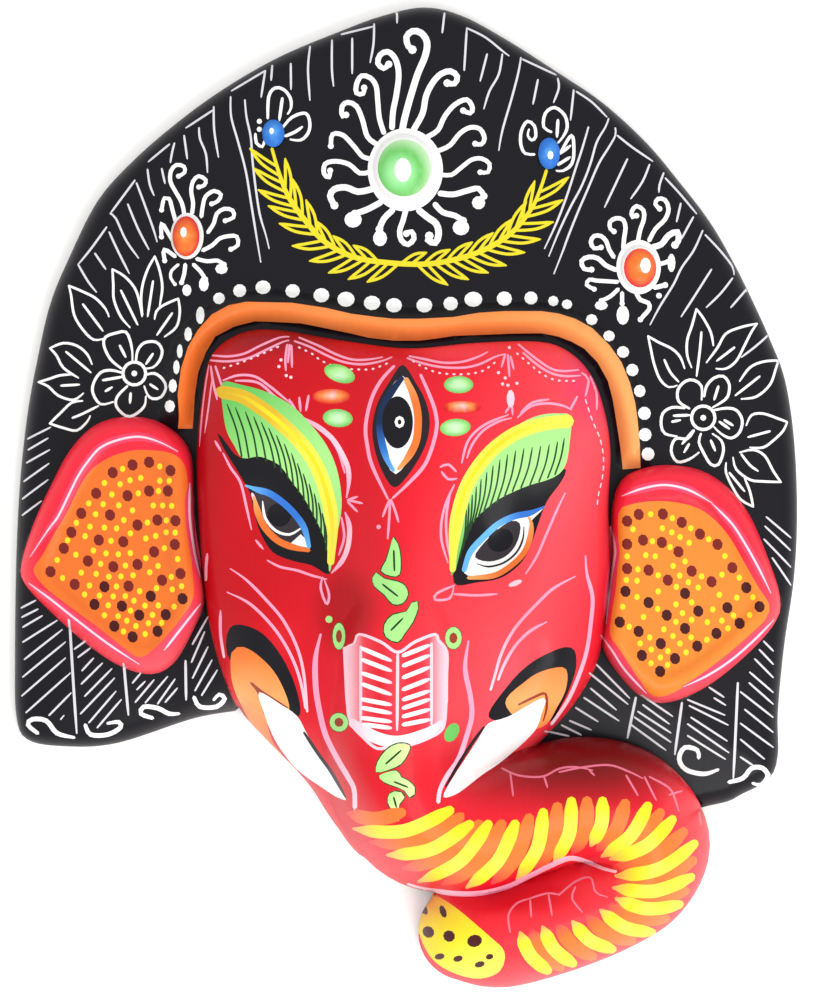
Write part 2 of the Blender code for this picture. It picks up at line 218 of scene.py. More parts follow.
# Plan of the crown, clockwise from its top
CROWN_OUTLINE = (
    4.5, 148.6, 16, 146.2, 29.5, 139, 44.7, 129.3, 58.5, 120, 71.7, 108, 81.8, 96, 91, 84, 98, 72, 104, 60,
    109.4, 48, 113.8, 36, 116.5, 18, 117.4, -4, 116.4, -24, 113.5, -44, 111.6, -64, 111.6, -77, 109, -84,
    101, -88.6, 92, -92, 60, -96, 0, -80, -45, -62, -52, -63.6, -65, -66, -88, -73.4, -104, -74.3,
    -115, -72.2, -118.2, -65, -118.6, -48, -118.2, -18, -117, 6, -114.8, 26, -111.9, 42, -108, 59, -102.3, 73,
    -93.8, 90, -83.3, 102, -69.5, 114, -54.9, 124.5, -38.2, 134, -19.5, 141.8, -8, 146,
)
# Plan of the face, clockwise from the middle of the brow
FACE_OUTLINE = (
    0, 45.4, 20, 47, 39, 47.4, 48, 44.5, 54.5, 38, 58.5, 28, 60.6, 15, 60, -2, 60.5, -20, 59, -36, 56.5, -49,
    50.5, -60, 42, -70, 22, -90, 0, -106, -12.9, -108, -22.5, -97, -30.5, -85, -42.9, -72, -50.5, -63.5,
    -54.8, -54, -58.5, -42, -60.5, -30, -62.5, -10, -63.3, 12, -61.8, 30, -59, 43, -51, 49.6, -40, 51,
    -20, 47.8,
)
LEFT_EAR_OUTLINE = (
    -85, 24.9, -76, 23.8, -69, 19.6, -65, 13, -64.3, 0, -63.6, -14, -61, -29, -65, -40, -70.5, -49,
    -77, -52.2, -86, -50, -96, -43.6, -108, -33, -115.4, -25, -116.3, -19, -112.3, -6.5, -107.5, 4,
    -101.5, 15, -94, 22.4,
)
RIGHT_EAR_OUTLINE = (
    78, 10.4, 88, 8.8, 96, 3.8, 102.6, -4.5, 108, -17, 111.8, -29, 110.6, -36.5, 102, -46.3, 90, -55.8,
    79, -60.5, 71.5, -59.8, 64.5, -53.8, 58.4, -44, 59.2, -34, 61, -18, 61.2, -3, 64, 5.8, 70, 9.2,
)
# Trunk, from the bridge of the face to its tip: x, y, half-width and height of the crest
TRUNK_PATH = (
    (-3, -40, 20, 62), (-3.5, -64, 22.5, 64), (-2.5, -83, 22, 61), (5.5, -96.3, 20.9, 56),
    (21.6, -98.8, 19.2, 51.5), (36.6, -93.6, 18.9, 48), (52, -90, 18.9, 45.5), (65.5, -93.2, 18.6, 43),
    (74.4, -103.5, 16.8, 40), (71, -115, 14.8, 37.5), (60, -121.3, 15.4, 36), (44.5, -126.2, 16.6, 35),
    (28, -131.4, 15.7, 34), (17.8, -130.3, 14.7, 32),
)
# Where the trunk's cut tip begins, as two points on its edge
TIP_EDGE = ((10, -117.6), (30, -135.6))
# Rows down the face: y, rise of the ridge that becomes the trunk, and its half-width
RIDGE_X = -2.5
RIDGE_ROWS = (
    (56, 0, 11), (40, 3, 12), (22, 7, 13), (0, 12, 14), (-20, 17, 15.5), (-42, 21, 18), (-66, 22, 20),
    (-96, 16, 22),
)
# Soft swellings and hollows of the face: x, y, half-lengths, turn in degrees and rise
FACE_SWELLS = (
    (-37.5, -5, 17, 11, -35, -6), (27, -12, 17, 11, 40, -6), (-45, -37, 13, 11, 30, 4.5),
    (42, -39, 13, 11, -30, 4.5), (-41, 24, 16, 9, -35, 2), (35, 18, 16, 9, 35, 2),
)
TUSK_LINES = (
    ((-47, -50), (-39, -63), (-30, -76), (-20, -88)),
    ((44, -50), (34, -63), (24, -75), (12, -86)),
)
# Domed bosses on the crown: x, y, half-width, half-height and rise
BOSSES = (
    (-1.1, 99.6, 9.4, 10.4, 5.0), (-66.6, 79.2, 4.6, 6.6, 3.5), (69.6, 69.8, 5.8, 6.8, 3.5),
    (-40.5, 110.2, 3.6, 4.4, 2.5), (42.4, 104.2, 3.6, 5.0, 2.5),
)
HEADBAND_ENDS = (20, 9)


def metres(points, scale):
    """Turns drawn places in millimetres into metres at the mask's own size."""
    return (np.array(points, dtype=float) - np.array(DRAWN_MIDDLE)) * scale


def pairs(row):
    """A row of x and y in turn as places."""
    return np.reshape(row, (-1, 2))


def leftward(line, closed=True):
    """The direction to the left of a line at each of its points."""
    along = np.roll(line, -1, axis=0) - np.roll(line, 1, axis=0) if closed else np.gradient(line, axis=0)
    along /= np.maximum(np.linalg.norm(along, axis=1), 1e-9)[:, None]
    return np.column_stack((-along[:, 1], along[:, 0]))


def spline(points, step, closed=True):
    """A smooth curve through the points, with a point about every step."""
    points = np.asarray(points, dtype=float)
    count = len(points)
    spans = count if closed else count - 1
    out = []
    for i in range(spans):
        if closed:
            a, b, c, d = (points[(i + k) % count] for k in (-1, 0, 1, 2))
        else:
            a, b, c, d = (points[min(max(i + k, 0), count - 1)] for k in (-1, 0, 1, 2))
        pieces = max(1, math.ceil(float(np.linalg.norm((c - b)[:2])) / step - 0.25))
        for k in range(pieces):
            t = k / pieces
            out.append(0.5 * (2 * b + (c - a) * t + (2 * a - 5 * b + 4 * c - d) * t ** 2
                              + (3 * b - a - 3 * c + d) * t ** 3))
    if not closed:
        out.append(points[-1])
    return np.array(out)


def line_distance(places, line, closed=True):
    """The distance from each place to the nearest point of a line."""
    starts = line if closed else line[:-1]
    ends = np.roll(line, -1, axis=0) if closed else line[1:]
    best = np.full(len(places), np.inf)
    for start, end in zip(starts, ends):
        along = end - start
        t = np.clip(((places - start) @ along) / max(along @ along, 1e-18), 0, 1)
        gap = places - start - t[:, None] * along
        best = np.minimum(best, np.einsum("ij,ij->i", gap, gap))
    return np.sqrt(best)


def inside(places, loop):
    """Whether each place lies inside a closed line."""
    crossings = np.zeros(len(places), dtype=bool)
    x, y = places[:, 0], places[:, 1]
    for (x0, y0), (x1, y1) in zip(loop, np.roll(loop, -1, axis=0)):
        if y0 == y1:
            continue
        crossings ^= ((y0 > y) != (y1 > y)) & (x < (x1 - x0) * (y - y0) / (y1 - y0) + x0)
    return crossings


def depth_inside(places, loop):
    """The distance to a closed line, positive inside it and negative outside."""
    return np.where(inside(places, loop), 1.0, -1.0) * line_distance(places, loop)


def round_over(share):
    """A quarter round: 0 at the edge, 1 from a share of 1 on."""
    return np.sqrt(np.clip(1 - (1 - np.clip(share, 0, 1)) ** 2, 0, 1))


def ease(share):
    """A smooth step from 0 to 1."""
    share = np.clip(share, 0, 1)
    return share * share * (3 - 2 * share)


def soft_max(a, b, width):
    """The higher of two heights, with a fillet about as wide as given."""
    share = np.clip(0.5 + 0.5 * (a - b) / width, 0, 1)
    return b + (a - b) * share + width * share * (1 - share)


class MaskForm:
    """The relief: its plan outlines and its height over any place in plan, in metres."""

    def __init__(self, height, wall):
        self.scale = height / DRAWN_HEIGHT
        self.wall = wall
        step = OUTLINE_STEP * self.scale
        self.crown = spline(self.place(pairs(CROWN_OUTLINE))[::-1], step)
        self.face = spline(self.place(pairs(FACE_OUTLINE))[::-1], step)
        ears = (LEFT_EAR_OUTLINE, RIGHT_EAR_OUTLINE)
        self.ears = [spline(self.place(pairs(ear))[::-1], step) for ear in ears]
        path = np.array(TRUNK_PATH, dtype=float)
        path = np.column_stack((self.place(path[:, :2]), path[:, 2:] * self.scale))
        self.trunk_path = spline(path, step * TRUNK_SPACING, closed=False)
        self.trunk = self.trunk_outline()
        self.outline = self.union_outline((self.crown, self.face, self.trunk))

    def place(self, points):
        """Drawn millimetres as metres."""
        return metres(points, self.scale)

    def drawn(self, points):
        """Metres as drawn millimetres."""
        return points / self.scale + np.array(DRAWN_MIDDLE)

    def raised_parts(self):
        """The edge of each part that stands up in a step, with a test for what lies on it."""
        parts = [(self.face, None), (self.trunk, lambda places: self.trunk_height(places) > 0)]
        return parts + [(ear, None) for ear in self.ears]

    def step_lines(self, loop, raised):
        """Closed lines just outside and just inside the step at the edge of a raised part."""
        loop = spline(loop, OUTLINE_STEP * self.scale * STEP_SPACING)
        inward = leftward(loop) * self.scale
        start = np.zeros(len(loop))
        if raised:
            for reach in np.arange(STEP_SEARCH, -STEP_SEARCH, -STEP_HALF / 2):
                start = np.where(raised(loop + reach * inward), reach, start)
        return [loop + (start + gap)[:, None] * inward for gap in (-STEP_HALF, STEP_HALF)]

    def trunk_outline(self):
        """The edge of the trunk in plan: down one side, round the tip and up the other."""
        path = self.trunk_path
        side = leftward(path[:, :2], closed=False) * path[:, 2:3]
        start = math.atan2(*side[-1][::-1])
        turns = start - np.linspace(0, math.pi, TIP_POINTS)[1:-1]
        tip = path[-1, :2] + path[-1, 2] * np.column_stack((np.cos(turns), np.sin(turns)))
        loop = np.vstack((path[:, :2] + side, tip, (path[:, :2] - side)[::-1]))[::-1]
        away = [np.min(np.hypot(*(path[:, :2] - p).T) / path[:, 2]) for p in loop]
        return loop[np.array(away) > TRUNK_KEEP]

    def union_outline(self, loops):
        """The one closed line round several overlapping closed lines, anticlockwise."""
        places, faces = [], []
        for loop in loops:
            faces.append(list(range(len(places), len(places) + len(loop))))
            places.extend(Vector(p) for p in loop)
        verts, _, triangles, _, _, sources = delaunay_2d_cdt(places, [], faces, 1, 1e-7)
        kept = [triangle for triangle, source in zip(triangles, sources) if source]
        loop = np.array([verts[i] for i in rim_order(kept, verts)])
        spread = [0]
        for i in range(1, len(loop)):
            if np.linalg.norm(loop[i] - loop[spread[-1]]) > OUTLINE_STEP * self.scale * 0.5:
                spread.append(i)
        return loop[spread]

    def height(self, places):
        """How high the front stands over each place in plan."""
        rim = line_distance(places, self.outline)
        face_depth = depth_inside(places, self.face)
        beside_face = np.maximum(-face_depth, 0)
        inward = rim / np.maximum(rim + beside_face, 1e-9)
        crown = CROWN_EDGE_HEIGHT + (CROWN_INNER_HEIGHT - CROWN_EDGE_HEIGHT) * inward ** CROWN_CURVE
        front = crown + self.headband(places, beside_face)
        front = soft_max(front, self.face_height(places, face_depth), FACE_FILLET)
        for ear in self.ears:
            depth = depth_inside(places, ear)
            thick = EAR_OUTER_THICKNESS + (EAR_INNER_THICKNESS - EAR_OUTER_THICKNESS) * inward ** 2
            pad = crown + thick * round_over(depth / EAR_SHOULDER)
            pad -= EAR_DISH * ease((depth - EAR_RIM_WIDTH) / EAR_RIM_SLOPE)
            front = np.where(depth > 0, np.maximum(front, pad), front)
        front = soft_max(front, self.trunk_height(places), TRUNK_FILLET)
        for x, y, half_x, half_y, rise in BOSSES:
            away = (places - self.place((x, y))) / (np.array((half_x, half_y)) * self.scale)
            dome = np.clip(1 - np.sum(away ** 2, axis=1), 0, 1) ** BOSS_FULLNESS
            front += rise * self.scale * dome
        fall = np.clip(front * ROUND_OVER_SHARE, ROUND_OVER_LEAST, ROUND_OVER_MOST)
        return RIM_LIP + (front - RIM_LIP) * round_over(rim / fall)

    def headband(self, places, beside_face):
        """The roll that runs round the brow, from ear to ear."""
        across = (beside_face - HEADBAND_GAP) / (HEADBAND_WIDTH / 2)
        roll = np.clip(1 - across ** 2, 0, 1) ** HEADBAND_FULLNESS
        middle = self.place((0, 0))[0]
        left_end, right_end = (self.place((0, y))[1] for y in HEADBAND_ENDS)
        ends = np.where(places[:, 0] < middle, left_end, right_end)
        return HEADBAND_THICKNESS * roll * ease((places[:, 1] - ends) / HEADBAND_FADE)

    def face_height(self, places, depth):
        """The face: a pillow with a ridge, eye hollows, cheeks and tusks; low outside its edge."""
        rows = np.array(RIDGE_ROWS, dtype=float)[::-1]
        y = places[:, 1]
        row_y = self.place(rows[:, [1, 0]])[:, 1]
        rise = np.interp(y, row_y, rows[:, 1]) * self.scale
        half = np.interp(y, row_y, rows[:, 2]) * self.scale
        across = (places[:, 0] - self.place((RIDGE_X, 0))[0]) / half
        relief = rise * np.exp(-across ** 2)
        for x, swell_y, half_x, half_y, turn, amount in FACE_SWELLS:
            cos, sin = math.cos(math.radians(turn)), math.sin(math.radians(turn))
            away = places - self.place((x, swell_y))
            u = (away[:, 0] * cos + away[:, 1] * sin) / (half_x * self.scale)
            v = (away[:, 1] * cos - away[:, 0] * sin) / (half_y * self.scale)
            relief += amount * self.scale * np.exp(-(u * u + v * v))
        for tusk in TUSK_LINES:
            line = spline(self.place(tusk), TUSK_STEP, closed=False)
            gap = line_distance(places, line, closed=False)
            relief += TUSK_RISE * np.exp(-(gap / TUSK_HALF_WIDTH) ** 2)
        pillow = round_over(depth / FACE_SHOULDER)
        height = FACE_SIDE_HEIGHT + (FACE_HEIGHT - FACE_SIDE_HEIGHT + relief) * pillow
        return np.where(depth > 0, height, 0.0)

    def trunk_height(self, places):
        """The trunk: an arched ridge along its path, with a slanting cut at its tip."""
        best = np.zeros(len(places))
        for x, y, half, crest in self.trunk_path:
            away = np.hypot(places[:, 0] - x, places[:, 1] - y) / half
            arch = np.clip(1 - away ** TRUNK_FULLNESS, 0, 1) ** 0.5
            lift = TRUNK_FOOT_HEIGHT + (crest - TRUNK_FOOT_HEIGHT) * arch
            best = np.maximum(best, np.where(away < 1, lift, 0.0))
        start, end = self.place(TIP_EDGE)
        along = (end - start) / np.linalg.norm(end - start)
        beyond = (places[:, 0] - start[0]) * along[1] - (places[:, 1] - start[1]) * along[0]
        near_tip = np.hypot(*(places - (start + end) / 2).T) < TIP_REACH
        return best - TIP_SLOPE * np.where(near_tip, np.clip(beyond, 0, None), 0.0) * (best > 0)

    def back(self, places):
        """The inner face: the front moved in by the wall, and no lower than the rim."""
        inner = np.full(len(places), np.inf)
        for share, count in BACK_PROBES:
            reach = share * self.wall
            drop = math.sqrt(self.wall ** 2 - reach ** 2)
            for k in range(count):
                turn = 2 * math.pi * (k + share) / count
                moved = places + reach * np.array((math.cos(turn), math.sin(turn)))
                front = np.where(inside(moved, self.outline), self.height(moved), 0.0)
                inner = np.minimum(inner, front - drop)
        return np.maximum(inner, 0.0)

    def crease(self):
        """The bottom of the groove between the trunk's two bends."""
        line = spline(self.place(pairs(TRUNK_GROOVE)), LINE_STEP * self.scale, closed=False)
        side = leftward(line, closed=False)
        reaches = np.linspace(-CREASE_SEARCH, CREASE_SEARCH, CREASE_PROBES) * self.scale
        heights = np.array([self.height(line + reach * side) for reach in reaches])
        lowest = np.pad(reaches[heights.argmin(axis=0)], CREASE_SMOOTH // 2, "edge")
        lowest = np.convolve(lowest, np.full(CREASE_SMOOTH, 1 / CREASE_SMOOTH), "valid")
        return line + lowest[:, None] * side

    def slopes(self, places):
        """The front's outward direction at each place."""
        reach = SLOPE_REACH * self.scale
        east, west, north, south = (
            self.height(places + reach * np.array(way)) for way in ((1, 0), (-1, 0), (0, 1), (0, -1))
        )
        normals = np.column_stack((west - east, south - north, np.full(len(places), 2 * reach)))
        return normals / np.linalg.norm(normals, axis=1)[:, None]


def rim_order(triangles, verts):
    """The corners along the free edge of a sheet of triangles, in order, anticlockwise."""
    uses = {}
    for triangle in triangles:
        for a, b in zip(triangle, triangle[1:] + triangle[:1]):
            pair = (a, b) if a < b else (b, a)
            if pair in uses:
                del uses[pair]
            else:
                uses[pair] = (a, b)
    following = dict(uses.values())
    start = max(following, key=lambda i: verts[i][1])
    order = [start]
    while following[order[-1]] != start:
        order.append(following[order[-1]])
    return order


def ring(loop, reach, step):
    """Points along a closed anticlockwise line, a set distance inside it, or outside if negative."""
    loop = spline(loop, step)
    moved = loop + reach * leftward(loop)
    return moved[line_distance(moved, loop) > abs(reach) * RING_KEEP]


def hexagon_field(outline, step):
    """Evenly spread points over the whole plan."""
    low, high = outline.min(axis=0), outline.max(axis=0)
    rows = []
    for j, y in enumerate(np.arange(low[1], high[1], step * math.sqrt(0.75))):
        x = np.arange(low[0] + (j % 2) * step / 2, high[0], step)
        rows.append(np.column_stack((x, np.full(len(x), y))))
    field = np.vstack(rows)
    return field[inside(field, outline)]


# Paint colours, as red, green and blue from 0 to 255
WHITE = (255, 255, 253)
CHALK = (224, 224, 230)
BLACK = (17, 15, 22)
SOFT_BLACK = (40, 28, 34)
IRIS = (54, 47, 53)
# Reds from dark to pink: in the ground tones of the face, trunk and ears the darker ones are painted shade
# and the pinker ones painted light
RED = (224, 36, 50)
LIT_RED = (244, 66, 82)
SHADED_RED = (202, 6, 22)
EDGE_RED = (186, 10, 24)
WARM_RED = (216, 14, 32)
CLEAR_RED = (234, 28, 46)
SOFT_RED = (252, 60, 72)
ROSE_RED = (254, 82, 94)
RIM_RED = (250, 42, 64)
HOT_PINK = (240, 62, 98)
DUSK_RED = (160, 10, 22)
DARK_RED = (122, 8, 12)
RIM_PINK = (240, 70, 104)
SCALLOP_PINK = (236, 120, 144)
ORANGE = (246, 122, 50)
PALE_ORANGE = (252, 172, 100)
EAR_ORANGE = (240, 118, 44)
BAND_ORANGE = (250, 146, 74)
BROWN = (124, 34, 28)
GUM_BROWN = (160, 60, 36)
DARK_BROWN = (72, 20, 20)
GOLD = (228, 184, 44)
YELLOW = (252, 226, 40)
LEMON = (248, 242, 84)
FROND = (236, 220, 44)
BOSS_GREEN = (160, 240, 160)
GREEN = (110, 200, 96)
PALE_GREEN = (172, 236, 140)
CREAM_GREEN = (222, 236, 160)
MINT = (206, 246, 196)
HATCH_GREEN = (30, 66, 30)
BLUE = (50, 120, 214)
NAVY = (20, 44, 84)
SKY = (104, 186, 250)
PINK = (252, 164, 194)
PALE_PINK = (255, 214, 226)
PAPER = (158, 140, 118)


def painted(colour):
    """A colour chosen in the sidebar, as a paint colour."""
    return tuple(255 * part for part in colour)


def chosen(colour):
    """A paint colour as the sidebar holds it."""
    return tuple(part / 255 for part in colour)


def fine(colour):
    """A paint colour as linear light."""
    share = np.asarray(colour, dtype=float) / 255
    return np.where(share > 0.04045, ((share + 0.055) / 1.055) ** 2.4, share / 12.92)


def blend(stops, share):
    """The colour at each share of the way through evenly spaced colours."""
    stops = fine(stops)
    at = np.clip(share, 0, 1) * (len(stops) - 1)
    low = np.minimum(at.astype(int), len(stops) - 2)
    part = (at - low)[:, None]
    return stops[low] * (1 - part) + stops[low + 1] * part


def across(start, end, *stops):
    """A tone that runs through its colours from one place to another."""
    start, end = np.array((start, end), dtype=float)
    along = (end - start) / ((end - start) @ (end - start))
    return lambda places: blend(stops, (places - start) @ along)


def outward(places, x, y, half_x, half_y):
    """How far out each place is from the middle of an ellipse, with 1 at its edge."""
    return np.hypot((places[:, 0] - x) / half_x, (places[:, 1] - y) / half_y)


def around(x, y, half_x, half_y, *stops):
    """A tone that runs through its colours from a middle outwards."""
    return lambda places: blend(stops, outward(places, x, y, half_x, half_y))


class Area:
    """A filled shape inside a closed line."""

    def __init__(self, loop, tone):
        self.loop = np.asarray(loop, dtype=float)
        self.lines = [(self.loop, True)]
        self.tone = tone
        self.low, self.high = self.loop.min(axis=0), self.loop.max(axis=0)

    def covers(self, places):
        """Whether each place is under the shape."""
        return inside(places, self.loop)

    def colours(self, places):
        """The paint at each place."""
        if callable(self.tone):
            return self.tone(places)
        return np.tile(fine(self.tone), (len(places), 1))


class Stroke(Area):
    """A brush stroke: a smooth line with a width that may taper at its ends."""

    def __init__(self, points, width, tone, ends=(0.7, 0.5)):
        self.line = spline(pairs(points), LINE_STEP, closed=False)
        self.share = np.linspace(0, 1, len(self.line))
        swelling = ends[0] + (1 - ends[0]) * ease(self.share / TAPER_IN)
        swelling = np.minimum(swelling, ends[1] + (1 - ends[1]) * ease((1 - self.share) / TAPER_OUT))
        self.half = swelling * width / 2
        left = leftward(self.line, closed=False)
        side = left * self.half[:, None]
        caps = []
        for at, way in ((0, -1), (-1, 1)):
            turns = (-CAP_TURN, 0, CAP_TURN) if self.half[at] > WIDE_END else (0,)
            turns = np.radians(turns)[:, None] * way
            ahead = np.cos(turns) * np.array((left[at, 1], -left[at, 0])) * way * self.half[at]
            caps.append(self.line[at] + ahead - np.sin(turns) * side[at])
        super().__init__(np.vstack((caps[0], self.line + side, caps[1], (self.line - side)[::-1])), tone)

    def nearest(self, places):
        """How far each place is from the line, and the nearest stretch's half-width and share."""
        starts, spans = self.line[:-1], np.diff(self.line, axis=0)
        lengths = np.maximum(np.einsum("ij,ij->i", spans, spans), 1e-12)
        t = np.einsum("mij,ij->mi", places[:, None] - starts, spans) / lengths
        t = np.clip(t, 0, 1)
        gap = places[:, None] - starts - t[:, :, None] * spans
        far = np.einsum("mij,mij->mi", gap, gap)
        at = np.argmin(far, axis=1)
        rows = np.arange(len(places))
        way = at + t[rows, at]
        steps = np.arange(len(self.line))
        return np.sqrt(far[rows, at]), np.interp(way, steps, self.half), np.interp(way, steps, self.share)

    def covers(self, places):
        """Whether each place is under the stroke."""
        far, half, _ = self.nearest(places)
        return far <= half

    def colours(self, places):
        """The paint at each place, along the stroke where its tone is a list."""
        if isinstance(self.tone, list):
            return blend(self.tone, self.nearest(places)[2])
        return super().colours(places)


def oval(x, y, half_x, half_y, turn=0.0):
    """A closed line round an ellipse."""
    count = max(8, round(math.pi * (half_x + half_y) / LINE_STEP))
    turns = 2 * math.pi * np.arange(count) / count
    cos, sin = math.cos(math.radians(turn)), math.sin(math.radians(turn))
    u, v = half_x * np.cos(turns), half_y * np.sin(turns)
    return np.column_stack((x + u * cos - v * sin, y + u * sin + v * cos))


def fill(points, tone, smooth=True):
    """A filled shape through the points of its edge."""
    points = pairs(points)
    return Area(spline(points, LINE_STEP * FILL_SPACING) if smooth else points, tone)


def dot(x, y, half_x, half_y, tone, turn=0.0):
    """A dab of paint."""
    return Area(oval(x, y, half_x, half_y, turn), tone)


def strokes(lines, width, tone, ends=(0.8, 0.6)):
    """Several strokes of one width and colour."""
    return [Stroke(line, width, tone, ends) for line in lines]


def dots(places, half_x, half_y, tone, turn=0.0):
    """Several dabs of one size and colour."""
    return [dot(x, y, half_x, half_y, tone, turn) for x, y in places]


# The sun behind each big boss: each ray's width, then its line from root to curl
BIG_SUN = (
    (2.0, -1.7, 111.2, -1, 114.8, 0.8, 121.4, 2.9, 128.1, 5.2, 133.7, 5.7, 137.8, 3.9, 140.6, 1.3, 141.1,
     -0.5, 139.3, 0.1, 136.5, 1.3, 135.5),
    (1.7, -4.8, 112, -4.5, 116.8, -3.5, 121.9, -2.8, 128.1, -3.8, 132.7, -6.1, 134.9, -8.4, 133.9,
     -9.1, 131.4, -7.3, 129.8, -5.8, 131.1),
    (1.5, -7.3, 110.5, -8.6, 114.8, -9.1, 119.9, -9.6, 124.5, -11.4, 127, -14, 127.6, -15.5, 125,
     -15.5, 122.4, -13.5, 122.2, -13.2, 124),
    (1.5, -9.4, 106.9, -12.2, 109.2, -13.7, 114.3, -15.5, 118.4, -18.1, 119.6, -19.8, 118.4, -19.8, 115.3,
     -18.6, 115.8), (1.4, -10.9, 102.6, -13.5, 103.1, -16.5, 106.6, -19.6, 109.7, -22.7, 109.9, -23.2, 106.4),
    (1.4, -11.7, 98.5, -14.5, 98.2, -17.6, 100.8, -21.6, 101.8, -24.9, 101, -25.2, 98, -23.7, 96.9,
     -23.4, 99), (1.9, -10.9, 93.4, -15, 92.6, -18.6, 93.9, -22.1, 93.4, -23.4, 91.3, -22.1, 88.5),
    (1.8, -8.4, 89.3, -12.4, 87.2, -16, 86), (1.8, -4.8, 86.9, -7.3, 84.4, -8.6, 81.3),
    (1.6, -0.7, 86.9, -1.5, 83.9, -2.5, 80.8, -2, 78, 0, 76.7, 1.8, 78.5, 1.1, 80.6, -0.5, 80),
    (2.0, 3.4, 86.9, 5.9, 84.9, 8.5, 82.9, 9.2, 79.8, 8.2, 77.2, 5.9, 78, 6.4, 79.3),
    (1.7, 8.2, 88.7, 10.5, 86.4, 14.1, 85.4, 16.6, 83.9),
    (1.7, 9.7, 92.1, 13.6, 91.8, 17.7, 92.9, 21.2, 93.6, 22.8, 91.3),
    (1.3, 10.3, 97.7, 13.1, 97.7, 16.1, 100, 19.2, 102.3, 22.2, 102.6, 24.5, 101, 24, 98.5, 21.7, 98.5),
    (1.4, 9.5, 105.1, 12.6, 106.6, 15.6, 110.2, 18.7, 112, 21.7, 111.5, 23, 108.7, 22, 106.9, 20.2, 107.1),
    (1.5, 5.9, 109.2, 9, 111.2, 11, 115.3, 14.1, 118.9, 17.7, 120.4, 19.4, 117.9, 18.7, 116.3, 16.6, 117.1),
    (1.8, 1.8, 111.5, 4.4, 116.3, 5.4, 121.4, 7.4, 125.5, 10, 128.2, 12.8, 129, 14.8, 127.4, 14, 125.2,
     11.8, 125.4),
)
LEFT_SUN = (
    (1.2, -67.2, 85.5, -68, 89.3, -70.3, 93.4, -71.5, 95.9, -71.3, 99, -69.7, 100.8, -67.4, 100.3,
     -67.2, 98.5, -69, 97.4),
    (1.2, -64.9, 86.2, -64.6, 89.3, -65.2, 92.9, -64.6, 95.9, -62.9, 97.4, -60.8, 96.2, -61.3, 94.6,
     -62.9, 94.1),
    (1.2, -62.1, 85.2, -61.6, 88.8, -60.8, 91.3, -58.3, 92.9, -56.2, 91.8, -57.2, 89.8, -59, 89),
    (1.2, -60.1, 80.4, -58.3, 83.2, -57.5, 86, -55.2, 87.5, -52.7, 87, -52.4, 84.9, -54.9, 83.9),
    (1.2, -61.6, 75, -58.8, 76.5, -56.5, 78.6, -53.7, 79.3, -51.4, 79.1, -51.1, 76.5, -53.2, 75.3),
    (1.2, -63.4, 72.4, -60.3, 71.7, -57.2, 71.9, -55.2, 70.7), (1.2, -64.4, 70.7, -62.3, 68.6, -60.8, 66.3),
    (1.2, -66.9, 70.7, -67.2, 67.9, -68, 65.3), (0.9, -69, 70.7, -71, 68.9, -71.3, 66.8, -70, 64.8),
    (1.2, -70, 73.2, -73.3, 75.3, -73.1, 71.9), (1.2, -70.8, 78.1, -72.6, 81.1, -74.1, 83.2, -74.1, 79.1),
    (1.2, -69.7, 83.2, -70.8, 87.2, -71.8, 90.6, -73.3, 90.8, -74.1, 87.2),
)
RIGHT_SUN = (
    (1.3, 64.7, 75.9, 65, 79.1, 65.4, 81.8, 64.7, 84.2, 62.6, 84.7, 60.7, 83.6, 60.8, 81.5, 61.9, 80.7),
    (1.3, 69.1, 77.7, 69.8, 81.2, 70.9, 84.4, 70.8, 87.1, 68.7, 88.4, 67.3, 86.8, 67.4, 85, 68.7, 85.5),
    (1.3, 72.5, 78, 74.4, 81.5, 77.3, 84.4, 78.4, 87.6, 77.3, 90.3, 75.2, 90.6, 74.4, 89, 75.7, 87.6),
    (1.3, 61.8, 73, 60.4, 75.3, 59.6, 77.7, 58, 79.3, 55.9, 79.3, 54.9, 77.5, 55.9, 75.6, 58, 75.9),
    (1.4, 62.3, 69.2, 59.4, 70.5, 57, 72.6, 54.3, 73, 52.1, 71.8, 52.9, 69.4, 55.1, 69.2),
    (1.2, 62.9, 65.5, 59.6, 65.7, 56.4, 65.9, 54.5, 66.2, 53.6, 64.6, 55.9, 63.3),
    (1.2, 63.1, 63.3, 60.7, 61.1, 58, 59.8), (1.2, 64.3, 62.2, 64.3, 59),
    (1.3, 68.7, 61.9, 69.8, 60.1, 72.2, 59.2, 72.5, 57.4, 70.9, 55.5, 69.8, 54.2),
    (1.4, 74.1, 63.8, 77.3, 64.6), (1.3, 76, 71, 78.1, 71.6),
    (1.8, 73.8, 76.1, 76.2, 76.9, 78.4, 79.6, 81.1, 80.7, 81.3, 78, 80.3, 76.7),
)
# Dabs at the ends of the rays: x, y and half-lengths
RAY_DABS = (
    (-16.5, 84.2, 2.6, 2.4), (-8.4, 78.6, 2.1, 2.4), (15.9, 81.8, 2.5, 2.3), (21.2, 89.3, 2, 2),
    (-56, 69.4, 1.9, 1.6), (-61.3, 64.8, 1.5, 2.2), (-66.4, 63, 1.4, 1.8), (58, 58.4, 2, 1.4),
    (64.5, 55.5, 1.9, 2.9), (75.4, 61.4, 0.9, 0.9), (79.2, 71.3, 1.2, 2.8),
)
